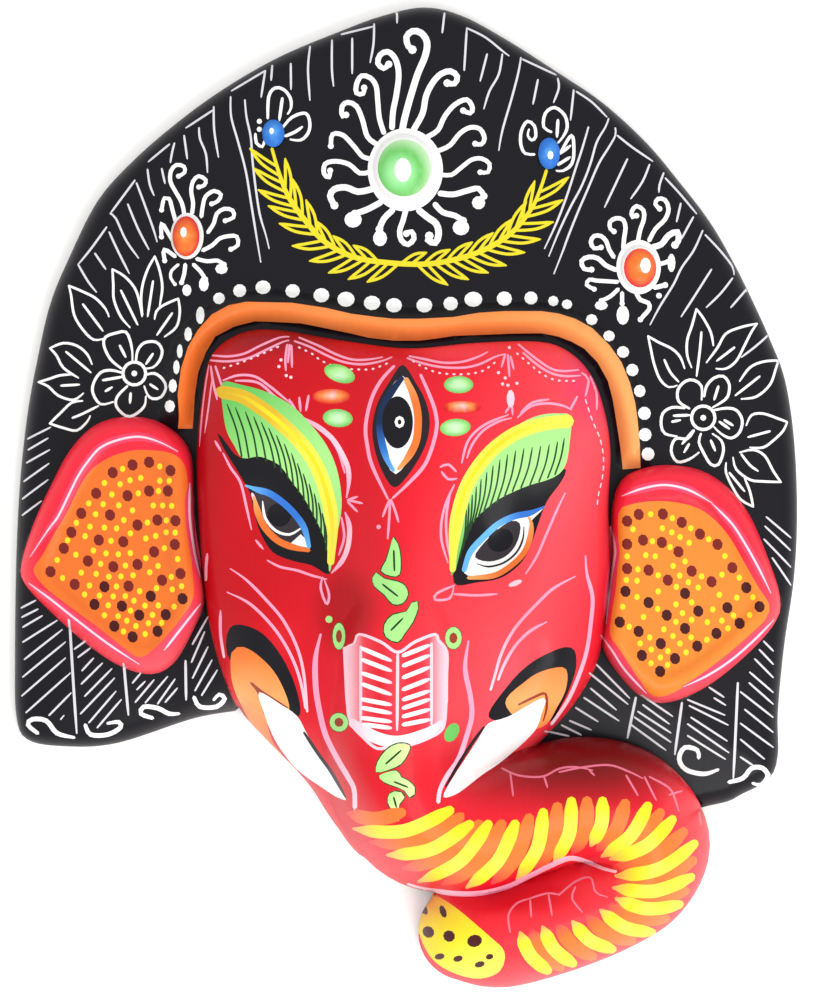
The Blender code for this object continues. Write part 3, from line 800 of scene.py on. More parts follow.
# Petals round the two small blue bosses
BLUE_FLOWERS = (
    (-42.2, 114.8, -41.9, 121.4, -40, 124, -37.4, 123.5, -35.4, 120.9, -35.2, 117.9, -36.2, 116.1),
    (-37.8, 120.9, -38.7, 114.3),
    (-37.7, 112, -34.9, 115.1, -30.8, 116.3, -29.5, 113.3, -30.1, 110.2, -32.3, 108.2, -35.4, 108.4),
    (-36.9, 109.4, -33.9, 110.7, -31.8, 112.2), (-45.9, 110.1, -45.6, 107.4, -43.8, 106.2, -43.2, 108),
    (43.1, 110.7, 40.8, 112.2, 41.3, 116.3, 44.1, 118.1, 47.1, 115.8, 47.9, 112.2, 46.6, 109.2, 45.1, 107.4),
    (45.1, 114.3, 44.8, 109.2),
    (38, 103.9, 35.2, 104.2, 33.9, 107, 34.1, 111, 35.9, 113.9, 38, 112.5, 38.4, 109.3, 37.2, 108.2,
     36, 109.6, 36.4, 111.5), (45.9, 104.6, 49.2, 109.7, 49.9, 105.1, 49.2, 101, 46.6, 99, 44.6, 99),
    (45.6, 104.1, 48.9, 106.6), (45.1, 100.8, 48.7, 103.1),
)
PETAL_DABS = ((-44.7, 113.9), (-44.7, 111.5))
# Jewels: ring, jewel and the lit middle of its painted light and shade, each as x, y and half-lengths, and
# the tones outwards from that middle
JEWELS = (
    ((-0.8, 99.2, 11.3, 12.5), (-1.1, 99.7, 8, 8.6), (-2.4, 98.2, 9.6, 10.4),
     (MINT, BOSS_GREEN, GREEN, MINT)),
    ((-66.4, 79.3, 5, 7), (-66.7, 79.2, 4.1, 6.1), (-66.9, 79, 4.2, 6.4),
     (PALE_ORANGE, ORANGE, ORANGE, RED)),
    ((69.3, 70, 6.7, 8.2), (69.7, 69.7, 4.9, 5.9), (70, 70, 5.2, 6.2),
     (PALE_ORANGE, ORANGE, ORANGE, RIM_RED)),
    (None, (-40.5, 110.25, 3.4, 4.2), (-40.5, 110.6, 3.4, 4.2), (SKY, BLUE, BLUE)),
    (None, (42.4, 104.2, 3.3, 4.8), (42.4, 104.6, 3.3, 4.8), (SKY, BLUE, BLUE)),
)
# Painted highlights on the domed jewels: x, y and half-lengths
JEWEL_HIGHLIGHTS = (
    (-1.5, 99, 2.5, 3.6), (-67.4, 80.4, 1, 1.6), (71.3, 70.4, 1.6, 2.4), (42.8, 103.6, 0.9, 1.3),
    (-41, 110.9, 0.7, 1),
)
# Combs of fine lines that fill the crown
LEFT_COMBS = (
    (-43, 129.3, -53.2, 123.2), (-43, 129.3, -44.2, 121.2),
    (-53.4, 121.4, -53.2, 115.3, -51.1, 107.7, -48.8, 99, -47, 88.3, -45.5, 79.1, -44.2, 71.4),
    (-49.1, 120.4, -48.6, 115.3, -47.3, 109.2, -46.8, 102.6, -45.8, 93.9, -44.5, 85.7, -42.7, 79.6,
     -41.7, 75.5), (-40.9, 130.9, -41.2, 126.3), (-58.5, 118.4, -58.3, 111.2, -57, 103.1),
    (-58.8, 117.3, -66.9, 112), (-67.4, 109.7, -66.4, 102.6),
    (-62.9, 112, -62.6, 108.7, -60.8, 104.1, -60.3, 98.5), (-71.8, 107.1, -78.2, 101.8),
    (-78.4, 99.5, -77.7, 94.9, -76.4, 91.6), (-70.3, 107.4, -71, 104.6, -71.5, 101.5),
    (-74.1, 99.7, -73.1, 95.2), (-82.2, 96.2, -89.6, 86.2),
    (-89.6, 86.2, -87.9, 84.7, -84.8, 78.1, -81, 72.7), (-81.7, 95.4, -79.2, 88.8, -76.6, 81.6, -75.4, 77.6),
    (-84.3, 89, -81.2, 81.6, -77.9, 75.3), (-90.7, 82.1, -95.5, 75.5, -99.3, 70.9),
    (-99.3, 70.9, -96.3, 65.8, -93.7, 62.5), (-89.9, 80.6, -87.3, 75, -83.8, 68.1),
    (-94.2, 74.2, -90.9, 69.4), (-3.3, 146.9, -3.3, 143.6), (11, 146.7, 10.3, 140.6),
    (-20.1, 140.3, -10.4, 142.6), (-10.2, 143.4, -10.4, 137.2, -11.4, 131.6), (-16.8, 139, -16.8, 128.3),
    (-22.9, 138.5, -22.9, 129.6, -22.4, 124.5), (-29.5, 136.7, -30.1, 129.6, -29.5, 120.2),
    (-35.3, 131.4, -35.2, 123.5),
)
RIGHT_COMBS = (
    (16.9, 129.3, 17.7, 142.1), (17.7, 142.1, 23.3, 139.3, 28.4, 135.2, 30.4, 133.7),
    (28.4, 134.2, 27.3, 128.1, 24.5, 123, 22.8, 117.6), (23.8, 134.2, 21.7, 126),
    (34, 133.2, 33.2, 128.6, 31.2, 120.9, 28.4, 111.2, 27.3, 105.1), (34.5, 132.7, 44.6, 128.1),
    (45.1, 127, 45.4, 124, 43.8, 119.6), (39.1, 126.5, 37.6, 119.1), (49.9, 123.5, 48.9, 114.3),
    (50.7, 123, 55.3, 119.9, 59.9, 115.3),
    (60.4, 114.8, 59.4, 112.2, 56.8, 107.7, 54.8, 101, 52.2, 94.4, 48.7, 87.8, 45.1, 80.1, 42.3, 73.2),
    (54.3, 112.2, 52.2, 105.1, 50.5, 100, 47.7, 91.3, 44.6, 83.2, 41, 75.5),
    (62.4, 112, 62.4, 109.7, 60.4, 106.1, 57.3, 101, 53.8, 92.9, 50.7, 85.7, 47.7, 78.1, 46.6, 75,
     43.8, 67.9), (63, 109.7, 67.6, 106.1, 73.7, 102), (72.7, 101, 70.6, 95.9, 67, 90.6),
    (66, 102.6, 59.1, 88), (77, 98.5, 75.7, 94.9, 75.5, 92.6), (77.5, 96.9, 81.8, 92.3, 86.9, 86.2),
    (85.9, 85.2, 83.9, 81.6, 82.3, 78.6), (82.1, 89.3, 80.8, 83.7),
    (88.7, 81.1, 85.9, 75, 82.3, 69.9, 79.8, 64.8, 75.7, 58.2, 72.7, 52.6),
    (89.5, 79.8, 94.1, 75, 97.7, 70.4, 98.2, 67.9), (97.7, 66.8, 94.1, 62.2, 89.7, 57.9),
    (91.3, 69.4, 86.4, 61.7, 82.1, 55.1), (102, 63.5, 97.1, 57.9), (108.9, 50, 104.8, 46.4, 100.2, 42.9),
)
# Hatching on the crown's side and lower panels, each line from end to end
EDGE_HATCH = (
    (-114.6, 18.4, -107.5, 21.9), (-114.4, 15.1, -108.3, 18.6), (-114.9, 11.2, -107.8, 15.1),
    (-115.7, 5.6, -108, 11), (-116.2, 0.3, -108.3, 6.1), (-116.2, -4.6, -110.3, -0.3),
    (107.8, -5.1, 115.3, -11.4), (107.4, -7.9, 115.2, -15.2), (107.1, -11.8, 115.3, -20.2),
    (109.6, -17.4, 115.4, -25.7),
)
PANEL_LINES = (
    (-101.8, -35.7, -99.7, -70.2), (-85.4, -49.1, -84.1, -64.7), (-66.8, -48.3, -66.7, -60.1),
    (68.4, -59.3, 65.9, -71.5), (82.3, -60.9, 80.2, -76.5), (99.2, -55, 97.9, -83.7),
)
LEFT_HATCH = (
    (-116.5, -32.5, -112, -30.2), (-116.3, -35.3, -111.3, -32.8), (-116, -38.3, -110, -34.8),
    (-116, -42.8, -105.5, -36.2), (-115.5, -48, -104, -39), (-116, -53.3, -103, -42.7),
    (-116.3, -59, -103, -47.5), (-115, -64, -101.5, -52), (-108, -64.8, -101.3, -58),
    (-104.5, -66, -103.5, -64.8), (-100.3, -44.8, -96.8, -42.3), (-99.2, -47.3, -95.5, -44.5),
    (-98, -51.3, -94.5, -47.5), (-98.2, -55.3, -91.8, -49), (-97.2, -59, -89, -50.7),
    (-98.5, -64.3, -88.2, -53.5), (-96, -67, -87.8, -57.5), (-93.5, -68.5, -86.2, -60),
    (-82.8, -55, -80.3, -52), (-81.5, -57, -79, -54.5), (-82, -60.8, -76.3, -54), (-79, -61, -72.2, -53),
    (-75.3, -61.3, -70, -53.8), (-73, -60.8, -69.3, -56.5), (-64.7, -43.3, -60, -35),
    (-65, -48.7, -61, -39.5), (-64.7, -53.5, -60, -44), (-64, -57.3, -58.8, -48), (-62, -58.7, -57.2, -51),
)
RIGHT_HATCH = (
    (56.5, -49.3, 66.5, -59.5), (54.3, -51.8, 66, -61.3), (54.8, -56.5, 62.5, -63),
    (52.8, -59.3, 63.3, -66.3), (50.3, -62.3, 57, -66.5), (48.5, -66.2, 55, -69), (46, -67.5, 52, -70.5),
    (41, -69.2, 48.3, -70.8), (70, -58.5, 79.5, -65), (70.5, -61.5, 78.5, -67.3), (69, -63.5, 79, -70),
    (68, -65.2, 79, -72.8), (67, -67.5, 77.5, -75.2), (90.5, -56.3, 95, -59.3), (92, -59.5, 95.5, -61.7),
    (84, -60, 95.3, -64.7), (84.5, -61.8, 96.3, -67.7), (85, -65.3, 96, -72.5), (84, -67.3, 96.5, -76),
    (84, -70.8, 95.5, -78), (107, -42.5, 110, -45.5), (105.7, -45, 110, -49.5), (104.3, -47.8, 110, -53.5),
    (102.8, -51.8, 110, -58), (102.6, -55, 110, -61.5), (100, -57.7, 110, -65.5), (101.3, -63, 110, -70),
    (100, -67.2, 110, -74.5), (100, -72, 107.3, -78), (100, -77.3, 104, -80),
)
PANEL_CURLS = (
    (-111.5, -70.2, -114.4, -67.7, -113.1, -66, -108.9, -66.4, -105.6, -70.2, -100.5, -71.5),
    (-97.1, -67.7, -95.5, -70.6, -90.4, -70.6, -86.6, -68.5, -87, -66.8, -90.4, -67.2),
    (-76.9, -65.6, -80.3, -64.3, -79.5, -62.2, -75.3, -62.6, -71.9, -64.3, -68.9, -64.3),
    (-64.3, -59.3, -62.6, -62.2, -57.6, -62.2, -55.1, -59.7, -56.7, -58.4, -58.4, -60.1),
    (96.6, -84.9, 100.8, -83.7, 103.4, -80.7, 106.7, -80.7, 108.4, -83.2, 106.3, -85.8, 103.8, -85.3),
    (87.4, -77.5, 87, -75.2, 83.2, -74.4, 81.5, -77.8, 83.6, -81.1, 89, -82.4, 93.3, -81.1),
)
# Flowers: petals as open loops, then the short lines in them; leaves as two sides and a vein. Hearts
# of the flowers: x, y and half-width
FLOWER_HEARTS = ((-82.2, 38, 3.5), (88.7, 24.7, 3.6))
LEFT_FLOWER = (
    (-86.1, 39.5, -89.4, 42.3, -91.4, 46.4, -90.9, 49, -87.3, 50.3, -84.8, 50.5, -83.5, 48, -82.8, 44.4,
     -82.8, 41.8), (-86.6, 46.4, -84.8, 42.9),
    (-81.7, 41.8, -81.2, 44.9, -79.2, 47.2, -75.6, 47.4, -73.8, 44.9, -74.6, 41.8, -76.6, 39.8, -78.9, 39.5),
    (-76.6, 43.9, -78.7, 40.8),
    (-79.2, 37.5, -76.1, 38, -73.6, 36.2, -72.6, 33.7, -74.1, 30.9, -76.6, 30.4, -78.2, 31.6, -79.2, 34.2),
    (-77.4, 34.7, -75.1, 33.2),
    (-84.3, 34.2, -87.3, 31.1, -87.6, 28.1, -84.8, 25.3, -82.2, 25.5, -79.2, 28.1, -78.7, 31.1),
    (-83.3, 32.1, -83.5, 29.1),
    (-86.1, 38.3, -89.4, 39, -92.4, 38.3, -94.5, 35.2, -94.7, 32.1, -92.4, 28.8, -88.5, 29.5),
    (-91.7, 36, -85.8, 37), (-90.9, 32.7, -88.9, 33.9),
)
RIGHT_FLOWER = (
    (84.5, 27.5, 81.3, 29.6, 81.1, 33.2, 83.4, 35.7, 85.9, 36, 88.2, 34.2, 88.2, 30.1),
    (89, 31.1, 89.7, 34.2, 92, 36.7, 94.8, 37.2, 96.6, 34.7, 96.1, 31.1, 94.1, 29.3, 91.5, 27.8),
    (93.3, 34.2, 92, 30.1),
    (92, 27, 95.6, 27.6, 98.7, 27, 100.5, 24, 99.7, 20.4, 97.1, 18.6, 94.1, 19.9, 92, 21.9),
    (93.6, 23.5, 96.6, 21.4), (95.1, 24, 97.7, 22.4),
    (88, 19.9, 87.4, 17.3, 89, 13.8, 91, 10.7, 93.3, 10.7, 94.8, 14.8, 94.1, 17.9, 91.5, 19.9),
    (91, 17.9, 92.3, 14.8),
    (85.9, 20.9, 83.9, 18.4, 80.3, 18.4, 79, 14.8, 80.8, 11.5, 84.4, 12.2, 87.4, 14.3),
    (85.7, 20.9, 82.3, 16.8), (84.4, 16.8, 82.9, 14.3),
    (83.1, 27.6, 79.3, 27.8, 76.5, 26, 76, 22.4, 77.2, 19.9, 80.8, 19.1), (79.8, 25.3, 84.6, 25.5),
    (79.3, 23.5, 81.8, 24),
)
LEAVES = (
    (-102.1, 64.5, -98.1, 62.8, -94, 60.7, -90.9, 57.4, -89.9, 55.1),
    (-102.1, 64.5, -101.4, 61.7, -100.4, 55.6, -97.6, 51, -94.5, 48.2, -91.4, 48.5),
    (-97.8, 58.9, -91.7, 50.8), (-88.9, 69.4, -85.3, 67.3, -82.2, 63.8, -80.7, 59.7, -79.9, 55.1),
    (-88.9, 69.4, -88.6, 64.8, -88.4, 60.2, -86.3, 55.1, -83.5, 51.8), (-86.3, 63, -81.2, 52.6),
    (-76.1, 73.2, -78.2, 69.4, -79.7, 64.8, -80.2, 60.2, -79.7, 55.6),
    (-76.1, 73.2, -74.6, 68.9, -73.8, 63.8, -74.6, 58.2), (-76.6, 65.8, -78.2, 55.1),
    (-69, 60.5, -73.6, 58.4, -75.6, 56.6, -76.1, 54.3), (-69, 60.5, -68.5, 56.6, -69.5, 52, -73.1, 49),
    (-70.8, 56.1, -75.4, 49.5), (-107.8, 45.7, -103.7, 47.2, -99.6, 46.4, -96.5, 43.9, -95, 40.8),
    (-107.8, 45.7, -105.7, 43.4, -103.7, 39.8, -99.1, 36.7), (-102.9, 44.6, -95.3, 38.3),
    (-111.3, 35.5, -107.8, 36.5, -104.7, 37.5, -100.6, 37.8),
    (-111.3, 35.5, -108.3, 34.2, -105.2, 31.4, -100.6, 30.1, -97.6, 32.1), (-104.4, 34.4, -98.8, 34.7),
    (-107.8, 23, -104.2, 26.5, -101.1, 29.3, -97.8, 29.8),
    (-107.8, 23, -103.7, 21.7, -99.6, 20.9, -96.5, 23.5, -95.5, 25.3), (-100.9, 24.7, -98.1, 25.8, -93, 28.3),
    (72.1, 49.2, 72.9, 45.4, 73.9, 40.8, 75.7, 36.2, 78.3, 33.9, 80.8, 34.4),
    (72.1, 49.2, 75.2, 47.4, 79.3, 45.4, 81.8, 42.9, 83.1, 39.5), (77, 42.1, 78.8, 38.3, 81.3, 35.5),
    (86.7, 57.4, 85.4, 52.6, 83.9, 48, 83.9, 43.4, 85.2, 39.8),
    (86.7, 57.4, 88.5, 55.1, 91, 50.5, 91.8, 46.4), (88.2, 50.5, 87.7, 44.9, 86.7, 37.2),
    (105.1, 53.1, 100.2, 52, 95.6, 50, 93.1, 45.9, 89.7, 41.3),
    (105.1, 53.1, 103.3, 50.5, 101.2, 46.4, 98.7, 41.8, 95.6, 39.5, 92.6, 39.5), (98.2, 45.9, 92.8, 41.8),
    (111.7, 42.1, 106.8, 41.6, 102.8, 39.8, 99.7, 35.7),
    (111.7, 42.1, 110.7, 39.3, 108.9, 34.7, 104.8, 31.1, 100.2, 30.4), (105.8, 37.2, 98.4, 31.4),
    (114.2, 23.5, 111.4, 24.5, 106.8, 26, 103.3, 25.5, 101.7, 22.4),
    (114.2, 23.5, 113, 20.9, 109.9, 17.9, 106.8, 15.8, 102.8, 15.8), (108.9, 20.7, 102.2, 18.9),
    (112.2, 5.4, 109.9, 8.7, 107.3, 13.3, 103.8, 15.1, 99.7, 14.3),
    (112.2, 5.4, 106.8, 5.6, 102.8, 6.1, 98.7, 9.2, 97.7, 12.8), (100.2, 13.8, 102.8, 10.5, 105.3, 8.7),
    (103.8, -2, 100.2, 0, 97.7, 3.6, 95.6, 8.2, 95.6, 11.2), (103.8, -2, 102.8, 2.6, 101.2, 6.6),
    (96.6, 8.2, 101.2, 2.6),
)
# White dabs round the headband: x, y, half-width and half-height
BEADS = (
    (-71.4, 28.1, 1.6, 1.9), (-70.5, 34.2, 1.3, 2.1), (-69.4, 39.8, 1, 2.2), (-68.4, 44.6, 0.9, 2.2),
    (-65.9, 49.7, 1.2, 2.2), (-62.3, 55.4, 1.3, 2.7), (-56.7, 60.5, 1.8, 1.8), (-50.5, 62.8, 2, 2),
    (-43.5, 63.8, 2.3, 2.1), (-34.6, 62.7, 2.2, 2.1), (-26, 61.4, 2.4, 2.2), (-18.6, 60.2, 2.6, 2.3),
    (-10.8, 59.1, 2.5, 2.2), (-4.2, 58.4, 2.4, 2.2), (4.9, 58.4, 2.4, 2.2), (12.8, 58.9, 2.2, 2.1),
    (19.6, 60.2, 2.7, 2.3), (28.9, 60.4, 2.3, 2.2), (36.9, 60.6, 2, 2), (43.6, 59.7, 1.6, 1.6),
    (47.7, 58.7, 1.6, 1.5), (55.1, 54.1, 1.8, 1.7), (60.3, 49.2, 1.8, 1.7), (64.5, 44.4, 1.9, 1.8),
    (67.3, 39, 1.9, 1.9), (69.5, 32.7, 1.8, 1.9), (70.9, 26, 2, 2), (71.1, 19.6, 2, 2), (72, 13.8, 2, 2),
)
HEADBAND_TONE = ((-66, 0), (66, 0))
BAND_OUTER = (
    -69, 21.4, -69, 31.6, -68, 39.3, -65.9, 45.9, -62.9, 51, -58.8, 55.6, -53.7, 58.4, -48.6, 59.4,
    -34.9, 59.1, -24.7, 57.6, -17, 55.8, -9.4, 54.8, -4.3, 54.3, 3.4, 54.3, 13.6, 54.8, 21.2, 56.1,
    28.9, 56.6, 40, 56.6, 45.1, 55.9, 50.2, 54.3, 55.3, 51.5, 60.4, 46.4, 64, 41.3, 66.5, 35.2, 68.1, 29.1,
    68.8, 24, 69.5, 16.3, 69.8, 9.6,
)
BAND_INNER = (
    -64.6, 21.4, -63.9, 31.6, -62.9, 38.3, -60.6, 44.4, -57.8, 49, -52.1, 52, -46, 53.6, -40, 53.4, -32.3, 53,
    -24.7, 51.5, -17, 49.9, -11.9, 48.7, -4.3, 47.8, 3.4, 47.8, 8.5, 48.4, 13.6, 49.2, 23.8, 49.6, 31.4, 49.9,
    40, 50, 45.1, 49, 49.2, 47.4, 52.8, 45.4, 56.8, 41.3, 59.9, 35.7, 61.4, 30.1, 62.4, 24, 63.6, 16.3,
    64.4, 9.2,
)
# Stem of the yellow fronds
FROND_STEM = (
    -40.9, 105.6, -38.6, 97.8, -35.9, 91.1, -31.2, 84.4, -25.2, 77.7, -16.4, 73, -5.7, 71.2, 6.4, 70.9,
    17.1, 73, 25.2, 76.3, 31.9, 81, 37.2, 87.7, 39.9, 93.8, 41.6, 99,
)

# Pink swags across the brow, each as its upper and lower line, and the dabs that hang below
SWAGS = (
    (-58.6, 43.3, -53.8, 42.9, -48.9, 43.7, -44.1, 46.1, -38.3, 48.6, -35.6, 48.8),
    (-59.2, 41.8, -53.8, 41.4, -48.1, 42.2, -43.2, 44.4, -37.5, 47.2, -35.6, 47.7),
    (-32.6, 48.6, -26.9, 46.2, -21.2, 43.4, -16.3, 41.9, -11.4, 42, -7.6, 42.7),
    (-33.9, 47.5, -29.4, 45.8, -24.5, 43.3, -19.6, 41.3, -13.9, 40.5, -8.2, 41.4, -4.8, 42.7),
    (0.4, 43, 4.9, 42.1, 10.6, 41, 16.3, 41.3, 21.2, 42.9, 23.8, 44.3),
    (-0.2, 42.4, 4.1, 40.9, 9.8, 39.7, 16.3, 39.5, 21.2, 40.5, 26.1, 42.8, 29, 43.6),
    (33, 46.6, 35.9, 44.1, 40, 40.9, 43.2, 39, 46.5, 38.5, 51, 38.9),
    (34.4, 44, 38.3, 40.6, 42.4, 38, 46.5, 37, 51.6, 37.2), (-36.1, 46.4, -36.6, 42, -36.4, 38.6),
    (-34.8, 46.2, -34.6, 39.6), (-35.4, 46.4, -35.8, 41), (29, 43.4, 27.9, 39.7), (29.8, 43.4, 30.3, 36.8),
    (30.6, 42.9, 31.6, 39), (30.4, 28, 29, 26), (31, 28, 31.2, 25.4), (-59, 40, -58.2, 35, -57, 30),
    (-57.6, 40, -56.4, 36.6, -55.6, 34), (52, 38, 54, 36, 53, 31), (54.6, 37, 56.4, 32, 56.4, 27),
)
SWAG_DOT_LINES = (
    (-55.1, 39.4, -49.1, 41.3, -43.6, 43.6, -37.1, 46.5),
    (-32.6, 45.6, -28.7, 43.7, -25.7, 41.5, -20.4, 39.4, -15.9, 39, -11, 39, -7.8, 40.1, -5, 41.3),
    (1.5, 41.5, 4.9, 39.5, 9.4, 37.9, 15.5, 37.5, 20, 37.9, 22.8, 38.8, 26.4, 41.4),
    (32.6, 43.8, 37.1, 39.9, 40.5, 37.3, 44.5, 35.7, 50.6, 35.6),
)
TASSEL_DABS = (
    (-36.3, 37.1), (-34.9, 36.6), (-38.5, 39.8), (-37.9, 41.8), (27, 38), (29, 36.4), (29.8, 34.2),
    (32.5, 34.8), (30.3, 45.6), (28.2, 34.6),
)
SWAG_DROP = (30.6, 30.2, 1.2, 2.7)
# Marks on the brow: x, y and half-lengths, the green ones with a turn
BROW_ORANGE_MARKS = ((-22.8, 30.8, 5.8, 2.3), (16.1, 27.6, 5.7, 1.9))
BROW_GREEN_MARKS = (
    (-20.4, 37.7, 4.8, 2.6, -20), (-20.9, 24.4, 4.5, 2.7, -5), (15.1, 34.4, 4.4, 2.6, 0),
    (14.1, 21.6, 4.6, 2.6, 5),
)
FACE_EDGE_DASHES = (53, 30, 55, 24, 57.5, 18, 58.5, 12, 58, 6, 57, 2, 56.5, -2)
FACE_EDGE_LINES = (
    (-59.6, 40.5, -60.8, 33, -61.8, 24, -62.4, 16), (-58.6, 36, -59.6, 28, -60.8, 20),
)
# Third eye, from its pink line inwards
THIRD_EYE_PINK = (
    (-5.5, 0, -6.6, -2.6, -7.5, -5), (-5.3, 0, -5.6, -6, -6, -11.5), (-5, 0, -3.8, -3.2, -2.8, -6.5),
)
THIRD_EYE_RINGS = (
    (-4.2, 39.9, -7.9, 35.8, -10.9, 30, -12.6, 22, -12, 15.6, -10.5, 9.8, -6, 0.4),
    (3.8, 37.3, 6.3, 31.6, 8.2, 26, 8.4, 20.4, 5.4, 11.2, 0.4, 5.2, -4.5, 0.6),
)
THIRD_EYE_LID = (
    -1.6, 40.4, 2.4, 34.8, 5.2, 29.6, 6.5, 23.4, 5.3, 16.5, 1.2, 9, -3.9, 3.7, -7.7, 8.6, -10, 15.5,
    -10.6, 22, -9, 29, -5.4, 35.4,
)
THIRD_EYE_WHITE = (
    -1.5, 37, 0.8, 33.6, 2.9, 29, 4, 23.3, 3.3, 17.5, 0.6, 12.4, -3.6, 7.7, -6.4, 11, -8.5, 16, -9.2, 22.8,
    -8.1, 28.4, -5.2, 33.6,
)
THIRD_EYE_BLUE = (-1.9, 36.2, -4.7, 32.5, -7.3, 28, -8.3, 22.8, -7.8, 17.5, -6.2, 12, -4.3, 8.8)
THIRD_EYE_ORANGE = (-0.5, 35.8, 1.3, 32, 2.6, 27.5, 3, 23.3, 2.4, 17.5, 0.1, 12.8, -2.8, 9.2)
# Discs and drop of the third eye: x, y and half-lengths
THIRD_EYE_PUPIL = (-3.1, 23.1, 4.6, 7.8)
THIRD_EYE_DISC = (-2.5, 23.2, 1.5, 1.8)
THIRD_EYE_POINT = (-2.5, 23.2, 0.6, 0.8)
THIRD_EYE_DROP = (-8.7, -8, 0.7, 0.7)
# Left eye
LEFT_LID = (
    -55.5, 35, -50, 34.4, -41.9, 32.1, -34.5, 28, -28.6, 22.1, -24.2, 16.2, -21.3, 9.6, -19.9, 2.2,
    -19.9, -3.7, -21.3, -11.1, -23.3, -21.4, -24, -15, -25.7, -9.6, -28.6, -3.7, -31.6, 1.5, -34.5, 5.2,
    -38.2, 10.3, -41.9, 12.2, -44.8, 13, -49.3, 12.5, -51.8, 16.2, -54.1, 20.6, -55.3, 27.3,
)
LEFT_LID_YELLOW = (
    -55.3, 32.2, -49.3, 30.8, -43.4, 27.2, -38.2, 23.1, -33, 18.2, -28.6, 12.6, -25.7, 6.6, -23.9, 0.7,
    -22.8, -5.2, -22.6, -11.1, -23, -18.4,
)
# Lashes: where the first to last begin under the yellow band, and where they end
LEFT_LASHES = (
    (-54, 28.6, -51, 27.4, -47.5, 25.8, -44, 23.4, -39.7, 19.8, -35.3, 14.8, -31.9, 9, -28.6, 3.2, -26.2, -2,
     -24.8, -7),
    (-49.6, 13, -46.6, 12.6, -43.2, 12, -39.7, 9.8, -36.2, 6.9, -32.7, 2.4, -29.3, -2.8, -26.9, -7.8,
     -25.1, -11.5, -24.4, -15),
)
LEFT_SOCKET = (
    -57, 20, -55, 15.4, -52.2, 10.8, -49.3, 6, -47.2, 2.2, -45.9, -3.7, -44.1, -9.6, -40.4, -15.5,
    -34.5, -18.1, -28.6, -19.5, -23.4, -22, -23.4, -14, -24.5, -6, -29, 4, -36, 14, -44, 14.6, -50, 12.6,
    -53.2, 15.6, -55.6, 18.9,
)
LEFT_EYE = (
    -46.6, 2.2, -43.4, 1.4, -39.6, 0.6, -35.6, -1.8, -32, -5.8, -30.2, -10, -29.6, -14.4, -34, -13.4,
    -38.6, -11.4, -42.4, -7.8, -44.9, -3,
)
LEFT_EYE_BLUE = (-48.4, 4.3, -44.8, 3, -41.2, 1.9, -36.7, -1.3, -33, -5.2, -30.8, -8.8, -29.5, -14)
LEFT_EYE_ORANGE = (-45.9, 0.7, -44.8, -3.7, -42.8, -8.1, -39, -12, -34.5, -14, -29.6, -15)
LEFT_EYE_LIGHT = (-43.4, -0.4, -42.6, -5.4, -39.4, -9.2, -35.4, -10.3, -32.2, -8.6)
LEFT_EYE_PINK = (
    (-55.2, 35.7, -50.7, 37.2, -45.6, 36.8, -41.2, 33.9, -37.5, 30.9, -34.5, 28.4),
    (-51.5, 35.6, -44.8, 35, -39.7, 30.9, -35.3, 27.6), (-35.4, 30, -33.2, 26.4), (-32.4, 30.6, -32, 26.4),
    (-29.6, 31.2, -30.4, 26.6), (-24.2, 20, -20.8, 14.6, -18.8, 8), (-18, 0, -15, 1), (-18, 0, -13.5, -1),
    (-18, -0.5, -15, -3.5), (-19.8, -5.2, -19, -11, -20.6, -16.4),
    (-55.2, 14, -52.9, 9.6, -50, 5.2, -48.2, -2.2, -46.7, -8.8), (-45.4, -12, -43.2, -14.6),
    (-41.9, -18, -38.2, -19.9, -33, -21, -28.6, -22.5, -24.2, -23.6),
    (-25.5, -23, -26, -26, -25, -29.5, -24, -31, -23.5, -28, -25, -23.5), (-57.6, 17.6, -55.8, 14.6),
)
LEFT_EYE_BROAD = (
    (-31.6, 24.7, -27.2, 22.1, -22.7, 18.4, -19.8, 14, -17.9, 9.6, -17.6, 5.2, -18.3, 0.7),
    (-18.7, -3.7, -17.4, -8.1, -17.9, -14, -19.8, -18.4, -22.7, -21.7),
)
LEFT_EYE_CORNER = (-35, -12.9, -32, -10.2, -30.2, -12, -29.9, -14.2, -32.6, -13.7)
LEFT_EYE_GLINT = (-46.5, 1.9, -45.6, -0.5, -44.8, -3)
LEFT_PUPIL = (-38.4, -4.4, 3.6, 3.6)
LEFT_LID_TONE = ((-52, 30), (-24, -16))
# Right eye
RIGHT_LID = (
    48.6, 24.8, 45.1, 25.8, 39.4, 25.3, 33.7, 22.9, 27, 18.2, 21.4, 12.5, 17.1, 5.9, 14.3, -1.7, 12.7, -9.3,
    12.4, -16.8, 13, -22.5, 14.3, -20.6, 15.2, -16.8, 17.1, -11.2, 19.5, -6.4, 23.3, -2.6, 27, 0.2, 31.8, 2.6,
    36.5, 4.5, 41.3, 5.9, 45.1, 7.8, 47.2, 11, 48.2, 17,
)
RIGHT_LID_YELLOW = (
    47.6, 23.5, 42.4, 23, 36.7, 21.7, 31.1, 19.3, 25.5, 15.2, 20.8, 9.8, 17.1, 3.2, 14.7, -5, 13.6, -13.4,
    13.3, -20.6,
)
RIGHT_LASHES = (
    (46.6, 18.4, 43.6, 16.9, 40, 16.1, 36.5, 15.6, 33, 15, 29.6, 13.5, 26.5, 11.2, 23.8, 8.6, 21.4, 5.6,
     19.5, 2.2, 17.4, -3),
    (43.8, 7.6, 39.4, 5.6, 35.6, 4.2, 31.9, 3, 28.6, 0.9, 25.4, -1.6, 22.8, -3.2, 20.6, -5.4, 18.8, -8.4,
     17.2, -12, 15.4, -17),
)
